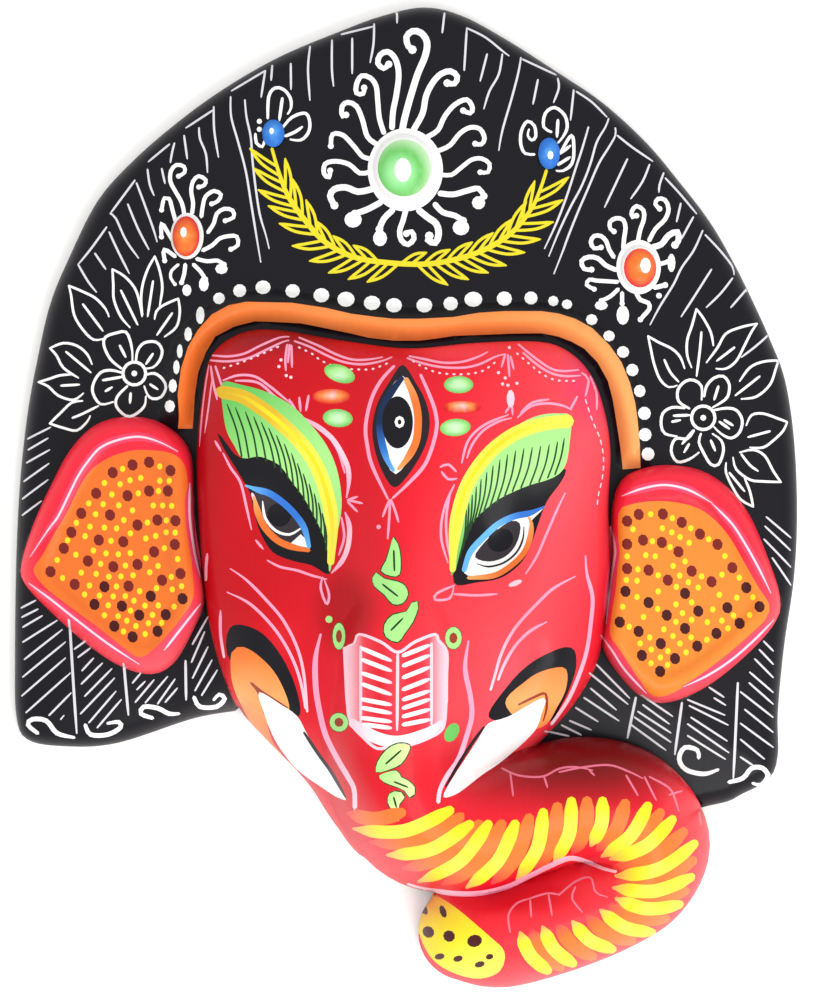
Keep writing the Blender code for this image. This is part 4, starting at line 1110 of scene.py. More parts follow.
RIGHT_SOCKET = (
    47.2, 9, 45.8, 5.6, 43.6, 2.6, 41.3, -0.7, 39.4, -5.5, 37.5, -11.2, 35.1, -16.8, 31.8, -20.6, 27, -23.5,
    20.4, -24.6, 14.7, -25.4, 13.4, -22.6, 14, -14, 17, -5, 24, 2, 32, 6, 40, 8, 45, 10,
)
RIGHT_EYE = (
    40.3, -2.6, 36.5, -4.6, 31.8, -5.6, 27, -8, 22.3, -12.4, 18.5, -16.6, 16.8, -21.8, 20, -22.6, 25.2, -22,
    29.9, -19.4, 33.8, -15.6, 35.8, -11, 36.4, -6.8,
)
RIGHT_IRIS = (
    33.4, -7, 31, -6.2, 27, -8.6, 22.3, -13.2, 20, -17, 24.2, -18.4, 28.9, -17, 32, -13.8, 33.4, -10,
)
RIGHT_EYE_BLUE = (40.7, -2, 36.5, -3.9, 31.8, -4.9, 27, -7.2, 22.3, -11.4, 18.5, -15.7, 16.8, -20.8)
RIGHT_EYE_ORANGE = (35.8, -4.8, 36.8, -7, 36.4, -11.2, 34.4, -16, 29.9, -20.2, 25.2, -22.6, 18, -23.2)
RIGHT_EYE_LINE = (20.6, -19, 24, -19.9, 28.6, -18.7, 32.4, -15.6, 34.3, -11.6, 34.6, -8)
RIGHT_EYE_PINK = (
    (17.6, 12.5, 19, 16.3, 22.3, 20.6, 27, 23.4, 30.8, 24.4), (16, 11, 18, 17.8, 22.8, 22.4, 29.9, 25.4),
    (32.7, 24.6, 36.5, 27.9, 41.3, 28.8, 46, 28.2, 48.8, 26.9), (33.6, 26, 37, 29, 42, 30),
    (48.4, 27, 50.6, 31), (9.6, 9.8, 12, 10.6, 14.4, 8.4), (10, 8.4, 12, 6.2, 14.6, 6.4),
    (13.8, 4.5, 11.4, -0.7, 10, -6.4, 10, -12.1, 11.9, -18.7), (12.6, 2.4, 11.4, -5, 11.6, -12, 12.4, -16.8),
    (13.8, -25.4, 8.6, -27.7, 8.1, -29.6, 12.4, -29.2, 13.6, -26), (13.8, -28, 20.4, -28.4, 26.6, -28),
    (35.1, -22, 38.4, -16.8, 41.3, -10.2, 44.6, -2.6, 46.9, 2.1),
)
RIGHT_PUPIL = (27.6, -12, 4, 3.4)
RIGHT_EYE_DROP = (32, -24.8, 2.2, 0.8)
RIGHT_LID_TONE = ((46, 24), (14, -18))
# Lines of light paint down the cheeks and beside the trunk: each one's width, then its line
FACE_LINES = (
    (0.9, 49.9, -22.8, 43.4, -26.3, 38.2, -31.1, 33, -36.7, 30, -41.1, 27.6, -46.3, 26.1, -51.5, 24.6, -56.5),
    (0.9, 41.3, -36.3, 36.5, -38.9, 32.1, -43.2, 28.7, -48.9, 26.9, -53.5),
    (1.2, 53, -16.7, 53.4, -22, 55.1, -28.9, 54.7, -35.9, 53.5, -44.5, 51.4, -51.5, 48, -59.5, 43, -67),
    (0.9, -53, -20.5, -48, -24, -42, -30, -37, -36, -33, -44, -31, -52, -30, -63),
    (0.9, -54, -27.5, -47, -31, -40, -38, -35, -46, -32, -54, -30.5, -62),
    (1.7, -26, -40, -27.5, -47, -27.5, -55, -26.5, -62, -24.5, -70, -21, -77, -18, -82, -16, -86,
     -15.8, -91.5),
    (1.5, 18, -42, 17, -50, 18.5, -58, 19, -64, 17.5, -70, 15, -77, 11.5, -82, 9.5, -86, 9, -89.5),
    (0.9, -60, -16, -60.4, -20, -60.5, -24), (0.9, -56, -33, -56, -40, -55, -47),
)
# Tusks: the black socket, the orange gum in it, and the tusk itself
LEFT_TUSK_SOCKET = (
    -54, -46, -54, -40, -52, -37.3, -48, -37.5, -43, -40, -38, -46, -34, -54, -32, -62, -33, -65, -36, -66,
    -43, -60, -50, -52,
)
LEFT_GUM = (
    -53, -50, -52.7, -45.6, -51, -43.9, -49, -43.8, -45, -46, -40, -51, -36.6, -57.4, -35.4, -62.5, -38, -64,
    -42, -66, -40, -74, -33, -82, -35, -83.5, -44, -73, -50, -62, -52.5, -55,
)
LEFT_TUSK = (
    -44.5, -57.5, -38, -61, -33, -64.5, -30, -70, -26, -76, -22, -82, -19, -87.5, -18.5, -89.5, -22, -88.5,
    -27, -85.5, -31, -83, -35, -79.5, -40, -72, -43, -64,
)
RIGHT_TUSK_SOCKET = (
    24, -64.6, 30, -55, 36, -49, 42, -45.5, 47, -43.8, 49.8, -45, 50.2, -50, 48.4, -56, 46, -61, 43, -66,
    40, -66, 34, -66,
)
RIGHT_GUM = (29, -60.5, 35, -54, 40, -51, 46, -49.8, 47.6, -52, 47, -57, 44.5, -62, 41.4, -67, 36, -68)
RIGHT_TUSK = (
    40.5, -59, 39.8, -64, 38.5, -68, 35, -72, 28, -78, 22, -82, 15, -87, 10.5, -88, 13, -83, 17, -77, 21, -71,
    24, -66.5, 30, -64.5,
)
LEFT_TUSK_MARK = (-36, -62, -44, -57, -47, -54.5, -44.7, -57.5, -43, -64)
RIGHT_TUSK_MARK = (33, -61, 38, -58.6, 41, -57.8, 41.4, -62, 40.4, -66)
LEFT_TUSK_SHADE = (-31, -69.4, -26.6, -76, -22.6, -81.6, -18.6, -88.6)
RIGHT_TUSK_SHADE = (22.6, -67.6, 19.6, -71.6, 15.6, -77.6, 11.2, -85)
GUM_TOP = -46
GUM_FOOT = -74
# Cloth on the trunk: its edge, then its lines
CLOTH = (
    -19, -44, -18.5, -52, -18, -60, -17, -66, -13.5, -70, -9, -73.5, -4, -72.5, 0, -72.5, 6, -70.5,
    10.5, -67.5, 11.5, -60, 11.5, -52, 11.5, -45, 9, -41.5, 8, -39.8, 2, -42, -3, -45, -8, -42, -14.5, -39.8,
    -16, -42.5,
)
CLOTH_RIBS = ((-3, -45, -3.2, -68), (-14, -43.4, -14, -67), (7, -42.4, 7, -67))
CLOTH_SHEEN = (-16.5, -66, -10, -70, -3, -71.5, 5, -69.4, 10, -66)
CLOTH_TONE = ((-18, -56), (11, -56))
CLOTH_ROWS = [(-13.5, start, -5, end) for start, end in (
    (-44, -47.5), (-47.3, -50.5), (-51.3, -54), (-54.5, -57.5), (-59, -60.5), (-61.5, -63), (-64.5, -65.5),
)] + [(-13, -66.4, -5, -67.4)] + [(-1.4, start, 6.3, end) for start, end in (
    (-46, -43), (-49, -46), (-52.5, -49.5), (-56, -53), (-59, -56.5), (-61.5, -59), (-64, -62), (-66.4, -65),
)]
# Sprouts of green leaves by the cloth: rings, stem, edges of the leaves, and veins
SPROUT_RINGS = ((-20.5, -40.5, 1.9, 4), (13.5, -41, 2.5, 3.3), (-20.5, -66, 2.8, 2.8))
SPROUT_STEM = (-3.2, -92, -2.8, -93.6, -2.8, -95)
SPROUT_BUD = (-23.5, -35.5, 1.1, 1.1)
SPROUT_LOW_BUD = (13, -69, 2, 3)
SPROUT_LOW = -60
SPROUTS = (
    (-4.3, -11, -3, -13, -2.2, -17, -2.5, -22, -5, -22.5, -8, -21, -6.5, -18, -5.3, -14),
    (-10.5, -23, -10, -25.5, -7, -28, -4.5, -30.8, -1.5, -30.5, 0, -28, -0.8, -25.5, -3, -24.2, -7, -23.3,
     -9.5, -21.5),
    (2.8, -30, 3, -32, 1.5, -36, -1, -39.5, -3, -42, -6.5, -40.5, -7, -37, -4.5, -34, -0.5, -33, 1, -30.5),
    (-9.5, -80.5, -9, -77.5, -6.5, -74, -3, -72, 0.5, -72.5, 0, -75, -2, -78, -5, -79.5, -8, -80.5),
    (-8.5, -81.5, -7, -83.5, -3, -85, -1, -86, 0.5, -88, 2, -87, 2, -85, 0, -83, -2, -82, -3.5, -80),
    (-5.5, -87, -6, -89.5, -4.5, -92, -3, -93, -2.5, -90, -1, -88, -2, -86.5, -4, -86.2),
)
SPROUT_VEINS = (
    (-4.2, -15, -4, -21), (-7.5, -25, -3, -28.5), (-5, -38.5, -1.5, -35), (-6.5, -78, -2, -74),
    (-4, -83.4, 0, -85), (-4.2, -88, -3.4, -91),
)
# Ears: the orange field inside each red rim, its brown dabs, and the painted highlight along the rim
LEFT_EAR_FIELD = (
    -80, 15, -85, 14.3, -90, 12.5, -95, 9, -98.5, 4, -102, -3, -106, -10, -110, -17, -112.2, -20, -112, -22.5,
    -108, -27, -100, -33, -93, -38, -86, -43.5, -82, -46.5, -79.5, -47, -76, -44.5, -70, -38, -64.9, -31,
    -64, -27, -64.6, -20, -65.2, -10, -65.7, 0, -66.2, 8, -67.8, 12, -72, 14.3,
)
RIGHT_EAR_FIELD = (
    63, -4, 66, -1.5, 74, -0.3, 82, -1, 88, -3, 93, -7, 97, -12, 101, -19, 105, -26, 108.5, -31.5,
    107.5, -35.5, 103, -40, 96, -46, 88, -52, 80, -57.5, 75, -59, 72, -57.5, 68, -52, 63.5, -45, 60.5, -40.5,
    60.9, -34, 62.2, -26, 62.9, -15,
)
LEFT_EAR_DABS = (
    -88.5, 8.2, -82.5, 10.5, -77.5, 11.3, -71, 8.8, -93.5, 2, -84, 1.3, -77.5, 2.7, -71.8, 2.7, -98, -4,
    -89.3, -4.5, -81, -7.5, -75, -6, -69.5, -6.2, -101, -9.7, -92.7, -12, -85.3, -12.5, -76, -15.5,
    -69.7, -13.3, -103.3, -14.5, -96, -18.3, -88.3, -20, -81, -19.3, -73.6, -24, -68, -22, -107.3, -21.5,
    -100, -25.3, -91, -26, -83.7, -25.8, -77, -28.8, -67.4, -29.5, -94, -31.3, -85.7, -31.8, -80.5, -34.5,
    -72.5, -34.3, -88, -37.8, -82.5, -41, -75, -39.3,
)
RIGHT_EAR_DABS = (
    69, -4.3, 76.3, -4.2, 82, -6.7, 65.5, -6.3, 87.5, -10.2, 65.5, -13.2, 70.3, -12, 76, -12.7, 92.8, -13.3,
    81, -15.5, 65.5, -20.5, 72, -21, 85, -21.3, 97.3, -20.3, 77.8, -24, 91, -24.5, 65, -27.3, 83, -28,
    101.5, -26.3, 72, -30.7, 87, -33.3, 95.8, -32.3, 105.5, -32, 63.3, -36.5, 77.5, -34.5, 69, -39.3,
    83, -38.5, 99.5, -37, 75.7, -43, 92.5, -40, 70, -46.5, 80, -47.5, 86.7, -43.8, 75.5, -51.3,
)
EAR_RIM_HIGHLIGHTS = (
    (-68.8, 14.5, -74, 17.2, -80, 18.9, -86, 18.2, -92, 15.8, -96, 11.5, -99, 7, -102, 1, -105, -5, -108, -9,
     -113.5, -17), (-114, -25, -107, -30, -100, -35.5, -90, -43, -80.5, -49.3), (-73, -45, -62, -31),
    (-65.3, 5, -65.3, -5, -64, -15, -62.2, -23), (64, 1.2, 70, 3.4, 77, 4.5, 84, 3, 91, -0.8),
    (91, -1, 97, -7, 101, -13, 105, -20, 109, -28), (110, -36, 104, -42, 97, -48, 90, -52.5, 82.5, -56),
    (57.8, -40.5, 61, -45, 65, -51, 71.5, -58), (60.7, -8, 62, -15, 61, -22, 60.2, -28, 59.3, -37),
)
# Trunk: yellow strokes from outer end to inner end, the groove, and its light scallops
TRUNK_STROKES = (
    (12.4, -92.1, -16.3, -98.4), (18.3, -96.3, -6.2, -106), (23.8, -96.3, 3.2, -114.4),
    (31.8, -96.3, 17.5, -115.7), (40.2, -92.9, 32.6, -113.1), (48.6, -89.6, 43.6, -108.1),
    (57.9, -89.6, 54.5, -103), (71.4, -91.2, 57.9, -106.4), (78.9, -95.4, 60.4, -107.2),
    (85.7, -103, 62.1, -112.3), (84.8, -113.1, 61.3, -115.7), (81.5, -121.5, 62.1, -119),
    (73.1, -130, 57.5, -122.4), (61.3, -135, 49.1, -125.8), (49.5, -139.2, 40.2, -127.4),
    (41.9, -141.3, 33.5, -129.1),
)
# Softly shaded and lit patches: middle, half-lengths and colour
FACE_PATCHES = (
    (-19, -33, 12, 17, EDGE_RED), (57, 36, 15, 18, HOT_PINK), (-40, 50, 26, 8, DUSK_RED),
    (16, 46, 20, 6, SOFT_RED),
)
# Tones that run from place to place over the ground: start, end and colours. The face's tone is painted shade
# on its left and painted light to its lower right; the trunk's and the ears' rims grow lighter downwards and
# to the right as painted light
FACE_TONE = ((-62, 8), (60, -30), EDGE_RED, SHADED_RED, WARM_RED, CLEAR_RED, SOFT_RED, ROSE_RED, CLEAR_RED)
LOW_TONE = ((-4, -70), (40, -140), WARM_RED, CLEAR_RED, CLEAR_RED, SOFT_RED)
EAR_RIM_LINES = (((-100, 10), (-80, -50)), ((75, 5), (95, -50)))
# Painted shade on the top of the trunk's upper bend and by its groove: middle, half-lengths and colour
TRUNK_SHADE_PATCHES = ((52, -68, 54, 32, DARK_RED), (34, -118, 24, 8, WARM_RED))
TRUNK_TONE_TOP = -58
TRUNK_TONE_SIDE = 18
TRUNK_TONE_FADE = 26
TRUNK_GROOVE = (
    0, -115.5, 5, -117, 13, -117.8, 22, -117.5, 30, -115.5, 36, -112.5, 42, -109.5, 48, -107, 53, -108,
    58, -110, 62, -111,
)
SCALLOPS = (
    (28, -80, 33, -82, 40, -82.3, 45, -80, 50, -79.5, 55, -80.5),
    (45, -81, 52, -79.6, 60, -79, 66, -81, 70, -83), (30.5, -81.5, 31.3, -88), (40.5, -82.3, 41.5, -85.5),
    (54, -80.5, 55.5, -82), (65, -82, 68.5, -88), (70.5, -82.5, 74, -89.5),
    (72, -82.5, 78, -86, 80, -90, 81, -93), (78, -88, 82, -87), (87.5, -94, 88, -97.5),
    (30.5, -129, 30, -124, 32.5, -120.5, 36.5, -119), (36.5, -119.5, 36.8, -124.5),
    (36.5, -119, 41.5, -117.5, 45, -117.8), (42, -118, 43, -124),
    (45, -118, 50, -114, 54.5, -112.8, 56, -117, 59.5, -118.5), (50, -115.5, 49, -119, 52, -123),
)
TRUNK_ROOT_STROKE = (-2, -92.6, -18, -93.6)
TRUNK_TIP_TONE = ((6, -118), (20, -140))
TRUNK_TIP = (
    4.2, -117.9, 9.6, -119.4, 15.6, -123, 24.6, -130.5, 28.8, -135, 27.6, -141, 21.6, -143.8, 14.1, -142.4,
    7.2, -138, 3.2, -130, 2.8, -122,
)
TIP_DABS = (
    (10.5, -123.4, 1, 1.9), (6.1, -129.8, 1.8, 1.8), (12.3, -130.6, 1.8, 1.8), (19.9, -131.8, 2.3, 1.9),
    (9.5, -137.1, 1.6, 1), (15, -137.5, 1.5, 1), (21.5, -139.1, 1.6, 1), (5, -123.4, 0.9, 1.5),
    (24.4, -136.6, 1.2, 0.9),
)


def place_along(line, share):
    """The place and direction a share of the way along a smooth line."""
    at = share * (len(line) - 1)
    i = min(int(at), len(line) - 2)
    way = line[i + 1] - line[i]
    return line[i] + way * (at - i), way / np.linalg.norm(way)


def frond():
    """The garland's stem with narrow pointed leaves that lean towards its two ends."""
    stem = spline(pairs(FROND_STEM), LINE_STEP, closed=False)
    shapes = []
    for outer, leaves, first, last, size, growth, opening in FROND_SIDES:
        for share in np.linspace(first, last, leaves):
            place, way = place_along(stem, share)
            lean = way if share > 0.5 else -way
            side = np.array((way[1], -way[0])) * outer
            away = abs(share - 0.5) * 2
            spread = opening - FROND_NARROWING * away
            along = spread * side + math.sqrt(1 - spread * spread) * lean
            tip = place + FROND_REACH * (size + growth * away) * along
            for foot, bow in ((place, 1), (place + FROND_LEAF_FOOT * lean, FROND_FOOT_BOW)):
                middle = (foot + tip) / 2 + bow * FROND_LEAF_BOW * side
                shapes.append(Stroke((foot, middle, tip), FROND_LEAF_WIDTH, FROND, (0.8, 0.5)))
    return shapes + [Stroke(FROND_STEM, FROND_WIDTH, FROND, (0.6, 0.6))]


def lashes(curves):
    """Fine strokes from one line to another, thickening towards their ends."""
    start, end = (spline(pairs(curve), LINE_STEP, closed=False) for curve in curves)
    shapes = []
    for k in range(LASHES):
        share = k / (LASHES - 1)
        root, tip = place_along(start, share)[0], place_along(end, share)[0]
        middle = (root + tip) / 2 + LASH_BOW * np.array((root[1] - tip[1], tip[0] - root[0]))
        shapes.append(Stroke((root, middle, tip), LASH_WIDTH, HATCH_GREEN, (0.5, 1.0)))
    return shapes


def dashes(line, width, tone, dash=1.3, gap=1.3):
    """A dashed line."""
    line = spline(pairs(line), 0.5, closed=False)
    lengths = np.r_[0, np.cumsum(np.linalg.norm(np.diff(line, axis=0), axis=1))]
    shapes = []
    for start in np.arange(0, lengths[-1] - dash, dash + gap):
        ends = [[np.interp(at, lengths, line[:, axis]) for axis in (0, 1)] for at in (start, start + dash)]
        shapes.append(Stroke(ends, width, tone))
    return shapes


def between(places):
    """Places midway between neighbours, none of them crowded."""
    low, high = DAB_NEIGHBOURS
    places = pairs(places)
    found = []
    for i, first in enumerate(places):
        for second in places[i + 1:]:
            middle = (first + second) / 2
            if not low < np.linalg.norm(first - second) < high:
                continue
            clear = np.min(np.linalg.norm(places - middle, axis=1)) > DAB_CLEAR
            if clear and all(np.linalg.norm(middle - other) > DAB_APART for other in found):
                found.append(middle)
    return found


def patched(tone, patches):
    """A tone with soft patches of other colours: middle, half-lengths and colour."""
    def colours(places):
        out = tone(places)
        for *patch, colour in patches:
            share = ease(1.5 - 1.5 * outward(places, *patch))[:, None]
            out = out * (1 - share) + fine(colour) * share
        return out
    return colours


def ground_tones():
    """The ground colours of the face, the trunk and the two ears, with their painted shade and painted light.
    """
    face = patched(across(*FACE_TONE), FACE_PATCHES)
    low = patched(across(*LOW_TONE), TRUNK_SHADE_PATCHES)

    def trunk(places):
        beyond = np.maximum(TRUNK_TONE_TOP - places[:, 1], places[:, 0] - TRUNK_TONE_SIDE)
        share = ease(beyond / TRUNK_TONE_FADE)[:, None]
        return face(places) * (1 - share) + low(places) * share

    return face, trunk, *(across(*line, RIM_RED, RIM_RED, ROSE_RED) for line in EAR_RIM_LINES)


def sun(rays):
    """Curling rays, each with a round blob where the brush was lifted."""
    shapes = []
    for width, *line in rays:
        shapes.append(Stroke(line, width, WHITE, (1.0, 0.9)))
        shapes.append(dot(*line[-2:], width * RAY_BLOB, width * RAY_BLOB, WHITE))
    return shapes


def crown_paint(headband):
    """White linework, bosses, fronds and headband on the black crown."""
    shapes = strokes(LEFT_COMBS + RIGHT_COMBS, COMB_WIDTH, CHALK)
    shapes += strokes(EDGE_HATCH + LEFT_HATCH + RIGHT_HATCH, HATCH_WIDTH, CHALK)
    shapes += strokes(PANEL_LINES, PANEL_WIDTH, CHALK) + strokes(PANEL_CURLS, CURL_WIDTH, WHITE)
    shapes += strokes(LEFT_FLOWER + RIGHT_FLOWER, FLOWER_WIDTH, WHITE) + strokes(LEAVES, LEAF_WIDTH, WHITE)
    for x, y, half in FLOWER_HEARTS:
        for reach, tone in ((half + 0.4, WHITE), (half - 0.5, BLACK), (0.9, WHITE)):
            shapes.append(dot(x, y, reach, reach, tone))
    shapes += strokes(BLUE_FLOWERS, PETAL_WIDTH, WHITE) + dots(PETAL_DABS, 0.8, 0.8, WHITE)
    shapes += sun(BIG_SUN + LEFT_SUN + RIGHT_SUN) + [dot(*dab, WHITE) for dab in RAY_DABS] + frond()
    # Each jewel is painted lighter round an off-centre middle and given a white painted highlight: painted
    # light and shade on the domes
    for surround, jewel, lit_middle, tones in JEWELS:
        if surround:
            shapes.append(dot(*surround, WHITE))
        shapes.append(dot(*jewel, around(*lit_middle, *tones)))
    shapes += [dot(*light, WHITE) for light in JEWEL_HIGHLIGHTS]
    band = np.vstack((pairs(BAND_OUTER), pairs(BAND_INNER)[::-1]))
    tone = across(*HEADBAND_TONE, ORANGE, headband, headband, PALE_ORANGE)
    return shapes + [fill(band, tone, smooth=False)] + [dot(*bead, WHITE) for bead in BEADS]


def ear_paint(ground):
    """Orange fields with brown and yellow dabs inside the red rims."""
    shapes = []
    # The right ear's field is a lighter copy of the left one's colour: painted light
    lit = tuple(part + (bright - part) * EAR_PAINTED_LIGHT for part, bright in zip(ground, LEMON))
    for field, dabs, tone in ((LEFT_EAR_FIELD, LEFT_EAR_DABS, ground),
                              (RIGHT_EAR_FIELD, RIGHT_EAR_DABS, lit)):
        shapes.append(fill(field, tone))
        shapes += dots(between(dabs), 0.85, 0.95, YELLOW)
        for x, y in pairs(dabs):
            shapes.append(dot(x, y, 1.6, 1.8, BROWN if y > EAR_DARK_BELOW else DARK_BROWN, 15))
    # A pink painted highlight along each rim, with a paler core
    shapes += strokes(EAR_RIM_HIGHLIGHTS, 2.6, RIM_PINK, (0.3, 0.3))
    return shapes + strokes(EAR_RIM_HIGHLIGHTS, 0.65, PALE_PINK, (0.3, 0.3))


def brow_paint():
    """Swags, third eye and the green marks between the eyes."""
    shapes = strokes(SWAGS, SWAG_WIDTH, PINK)
    for line in SWAG_DOT_LINES:
        shapes += dashes(line, 0.95, PALE_PINK, 0.45, 1.7)
    shapes += dots(TASSEL_DABS, 0.5, 0.5, PALE_PINK) + [dot(*SWAG_DROP, PALE_PINK)]
    shapes += dashes(FACE_EDGE_DASHES, 0.6, PALE_PINK) + strokes(FACE_EDGE_LINES, 0.5, PINK, (0.4, 0.3))
    for x, y, half_x, half_y in BROW_ORANGE_MARKS:
        tone = around(x, y + 0.4, half_x, half_y, PALE_PINK, PALE_ORANGE, ORANGE, WARM_RED)
        shapes.append(dot(x, y, half_x, half_y, tone))
    for *place, turn in BROW_GREEN_MARKS:
        shapes.append(dot(*place, around(*place, MINT, MINT, PALE_GREEN, GREEN), turn))
    shapes += strokes(THIRD_EYE_RINGS, 1.1, PINK) + strokes(THIRD_EYE_PINK, PINK_WIDTH, PINK)
    return shapes + [
        dot(*THIRD_EYE_DROP, PINK),
        fill(THIRD_EYE_LID, SOFT_BLACK),
        fill(THIRD_EYE_WHITE, WHITE),
        Stroke(THIRD_EYE_BLUE, 2.2, [NAVY, NAVY, NAVY, BLUE, SKY]),
        Stroke(THIRD_EYE_ORANGE, 2.3, [PALE_ORANGE, ORANGE, ORANGE, ORANGE, PALE_ORANGE]),
        dot(*THIRD_EYE_PUPIL, BLACK),
        dot(*THIRD_EYE_DISC, WHITE),
        dot(*THIRD_EYE_POINT, BLACK),
    ]


def left_eye_paint():
    """The left eye: green lid with lashes, black socket, iris and rims."""
    shapes = strokes(LEFT_EYE_PINK, PINK_WIDTH, PINK, (0.6, 0.5))
    shapes += strokes(LEFT_EYE_BROAD, 1.5, [PINK, PALE_PINK, PINK], (0.3, 0.3))
    shapes += [
        fill(LEFT_SOCKET, BLACK),
        fill(LEFT_LID, across(*LEFT_LID_TONE, GREEN, PALE_GREEN, PALE_GREEN)),
        Stroke(LEFT_LID_YELLOW, 4.3, [GOLD, GOLD, LEMON, LEMON, LEMON], (0.9, 0.5)),
        Stroke(LEFT_LID_YELLOW, 1.3, [GOLD, YELLOW, YELLOW, YELLOW, LEMON], (0.4, 0.4)),
    ]
    return shapes + lashes(LEFT_LASHES) + [
        fill(LEFT_EYE, IRIS),
        dot(*LEFT_PUPIL, BLACK),
        fill(LEFT_EYE_CORNER, WHITE, smooth=False),
        Stroke(LEFT_EYE_GLINT, 1, PALE_PINK),
        Stroke(LEFT_EYE_ORANGE, 2, [PALE_ORANGE, ORANGE, ORANGE, ORANGE], (0.4, 0.6)),
        Stroke(LEFT_EYE_BLUE, 2.0, [SKY, BLUE, BLUE, SKY], (0.3, 0.6)),
        Stroke(LEFT_EYE_LIGHT, 0.8, WHITE, (0.4, 0.6)),
    ]


def right_eye_paint():
    """The right eye: green lid with lashes, black socket, iris and rims."""
    shapes = strokes(RIGHT_EYE_PINK, PINK_WIDTH, PINK, (0.6, 0.5))
    shapes += [
        dot(*RIGHT_EYE_DROP, PALE_PINK, 22),
        fill(RIGHT_SOCKET, BLACK),
        fill(RIGHT_LID, across(*RIGHT_LID_TONE, PALE_GREEN, PALE_GREEN, GREEN)),
        Stroke(RIGHT_LID_YELLOW, 4.1, LEMON, (0.95, 0.45)),
        Stroke(RIGHT_LID_YELLOW, 1.3, [LEMON, YELLOW, YELLOW, LEMON], (0.4, 0.4)),
    ]
    return shapes + lashes(RIGHT_LASHES) + [
        fill(RIGHT_EYE, WHITE),
        fill(RIGHT_IRIS, IRIS),
        dot(*RIGHT_PUPIL, BLACK, 30),
        Stroke(RIGHT_EYE_LINE, 0.6, SOFT_BLACK, (0.4, 0.5)),
        Stroke(RIGHT_EYE_ORANGE, 1.7, [PALE_ORANGE, ORANGE, ORANGE, PALE_ORANGE], (0.4, 0.6)),
        Stroke(RIGHT_EYE_BLUE, 1.9, [BLUE, BLUE, SKY, SKY, SKY], (0.3, 0.8)),
    ]


def muzzle_paint():
    """Tusks, cheek lines, the cloth on the trunk and the green sprouts."""
    shapes = [Stroke(line, width, [PINK, PINK, PALE_PINK], (0.4, 0.8)) for width, *line in FACE_LINES]
    for socket, gum, tusk, mark in ((LEFT_TUSK_SOCKET, LEFT_GUM, LEFT_TUSK, LEFT_TUSK_MARK),
                                    (RIGHT_TUSK_SOCKET, RIGHT_GUM, RIGHT_TUSK, RIGHT_TUSK_MARK)):
        tone = across((gum[0], GUM_TOP), (gum[0], GUM_FOOT), ORANGE, PALE_ORANGE, ORANGE)
        shapes += [fill(socket, BLACK), fill(gum, tone), Stroke(mark, 0.8, GUM_BROWN), fill(tusk, WHITE)]
    veil = across(*CLOTH_TONE, PALE_PINK, LIT_RED, RED, LIT_RED, RED, LIT_RED, PALE_PINK)
    shapes += [
        Stroke(LEFT_TUSK_SHADE, 1.1, SOFT_BLACK),
        Stroke(RIGHT_TUSK_SHADE, 1.0, SOFT_BLACK),
        fill(CLOTH, veil),
        Stroke(CLOTH_SHEEN, 3.6, [PALE_PINK, WHITE, PALE_PINK]),
    ]
    shapes += strokes((CLOTH[:22], CLOTH[20:] + CLOTH[:2], *CLOTH_RIBS), 0.9, PALE_PINK)
    shapes += strokes(CLOTH_ROWS, 1.3, [WHITE, WHITE, PALE_PINK])
    for x, y, half_x, half_y in SPROUT_RINGS:
        shapes += [dot(x, y, half_x + 0.2, half_y + 0.2, HATCH_GREEN), dot(x, y, half_x, half_y, PALE_GREEN),
                   dot(x, y, half_x * 0.5, half_y * 0.5, GUM_BROWN)]
    shapes += [dot(*SPROUT_BUD, PALE_GREEN), dot(*SPROUT_LOW_BUD, GREEN, -30)]
    for sprout in SPROUTS:
        light = CREAM_GREEN if sprout[1] < SPROUT_LOW else PALE_GREEN
        half = len(sprout) // 4 * 2
        tone = across(sprout[:2], sprout[half:half + 2], PALE_GREEN, light)
        shapes += [Stroke(sprout + sprout[:2], 0.7, HATCH_GREEN), fill(sprout, tone)]
    return shapes + strokes(SPROUT_VEINS, VEIN_WIDTH, HATCH_GREEN) + [Stroke(SPROUT_STEM, 0.8, GREEN)]


def trunk_paint():
    """The trunk's fan of yellow and orange strokes, its groove and its spotted tip."""
    shapes = strokes(SCALLOPS, 0.6, SCALLOP_PINK)
    yellow = np.array(TRUNK_STROKES, dtype=float)
    orange = np.vstack((TRUNK_ROOT_STROKE, (yellow[:-1] + yellow[1:]) / 2))
    for rows, width, tone in ((orange, 4.4, [ORANGE, ORANGE, ORANGE, SOFT_RED]),
                              (yellow, 4.1, [YELLOW, YELLOW, LEMON, YELLOW, PALE_ORANGE])):
        for row in rows:
            start, end = pairs(row)
            way = end - start
            bow = np.array((way[1], -way[0])) * STROKE_BOW
            shapes.append(Stroke((start, start + way * 0.5 - bow, end), width, tone, (0.7, 0.25)))
    shapes.append(Stroke(TRUNK_GROOVE, 1.7, [PALE_PINK, PINK, PALE_PINK], (0.5, 0.5)))
    shapes.append(fill(TRUNK_TIP, across(*TRUNK_TIP_TONE, ORANGE, YELLOW, YELLOW, LEMON)))
    return shapes + [dot(*dab, DARK_BROWN, 20) for dab in TIP_DABS]


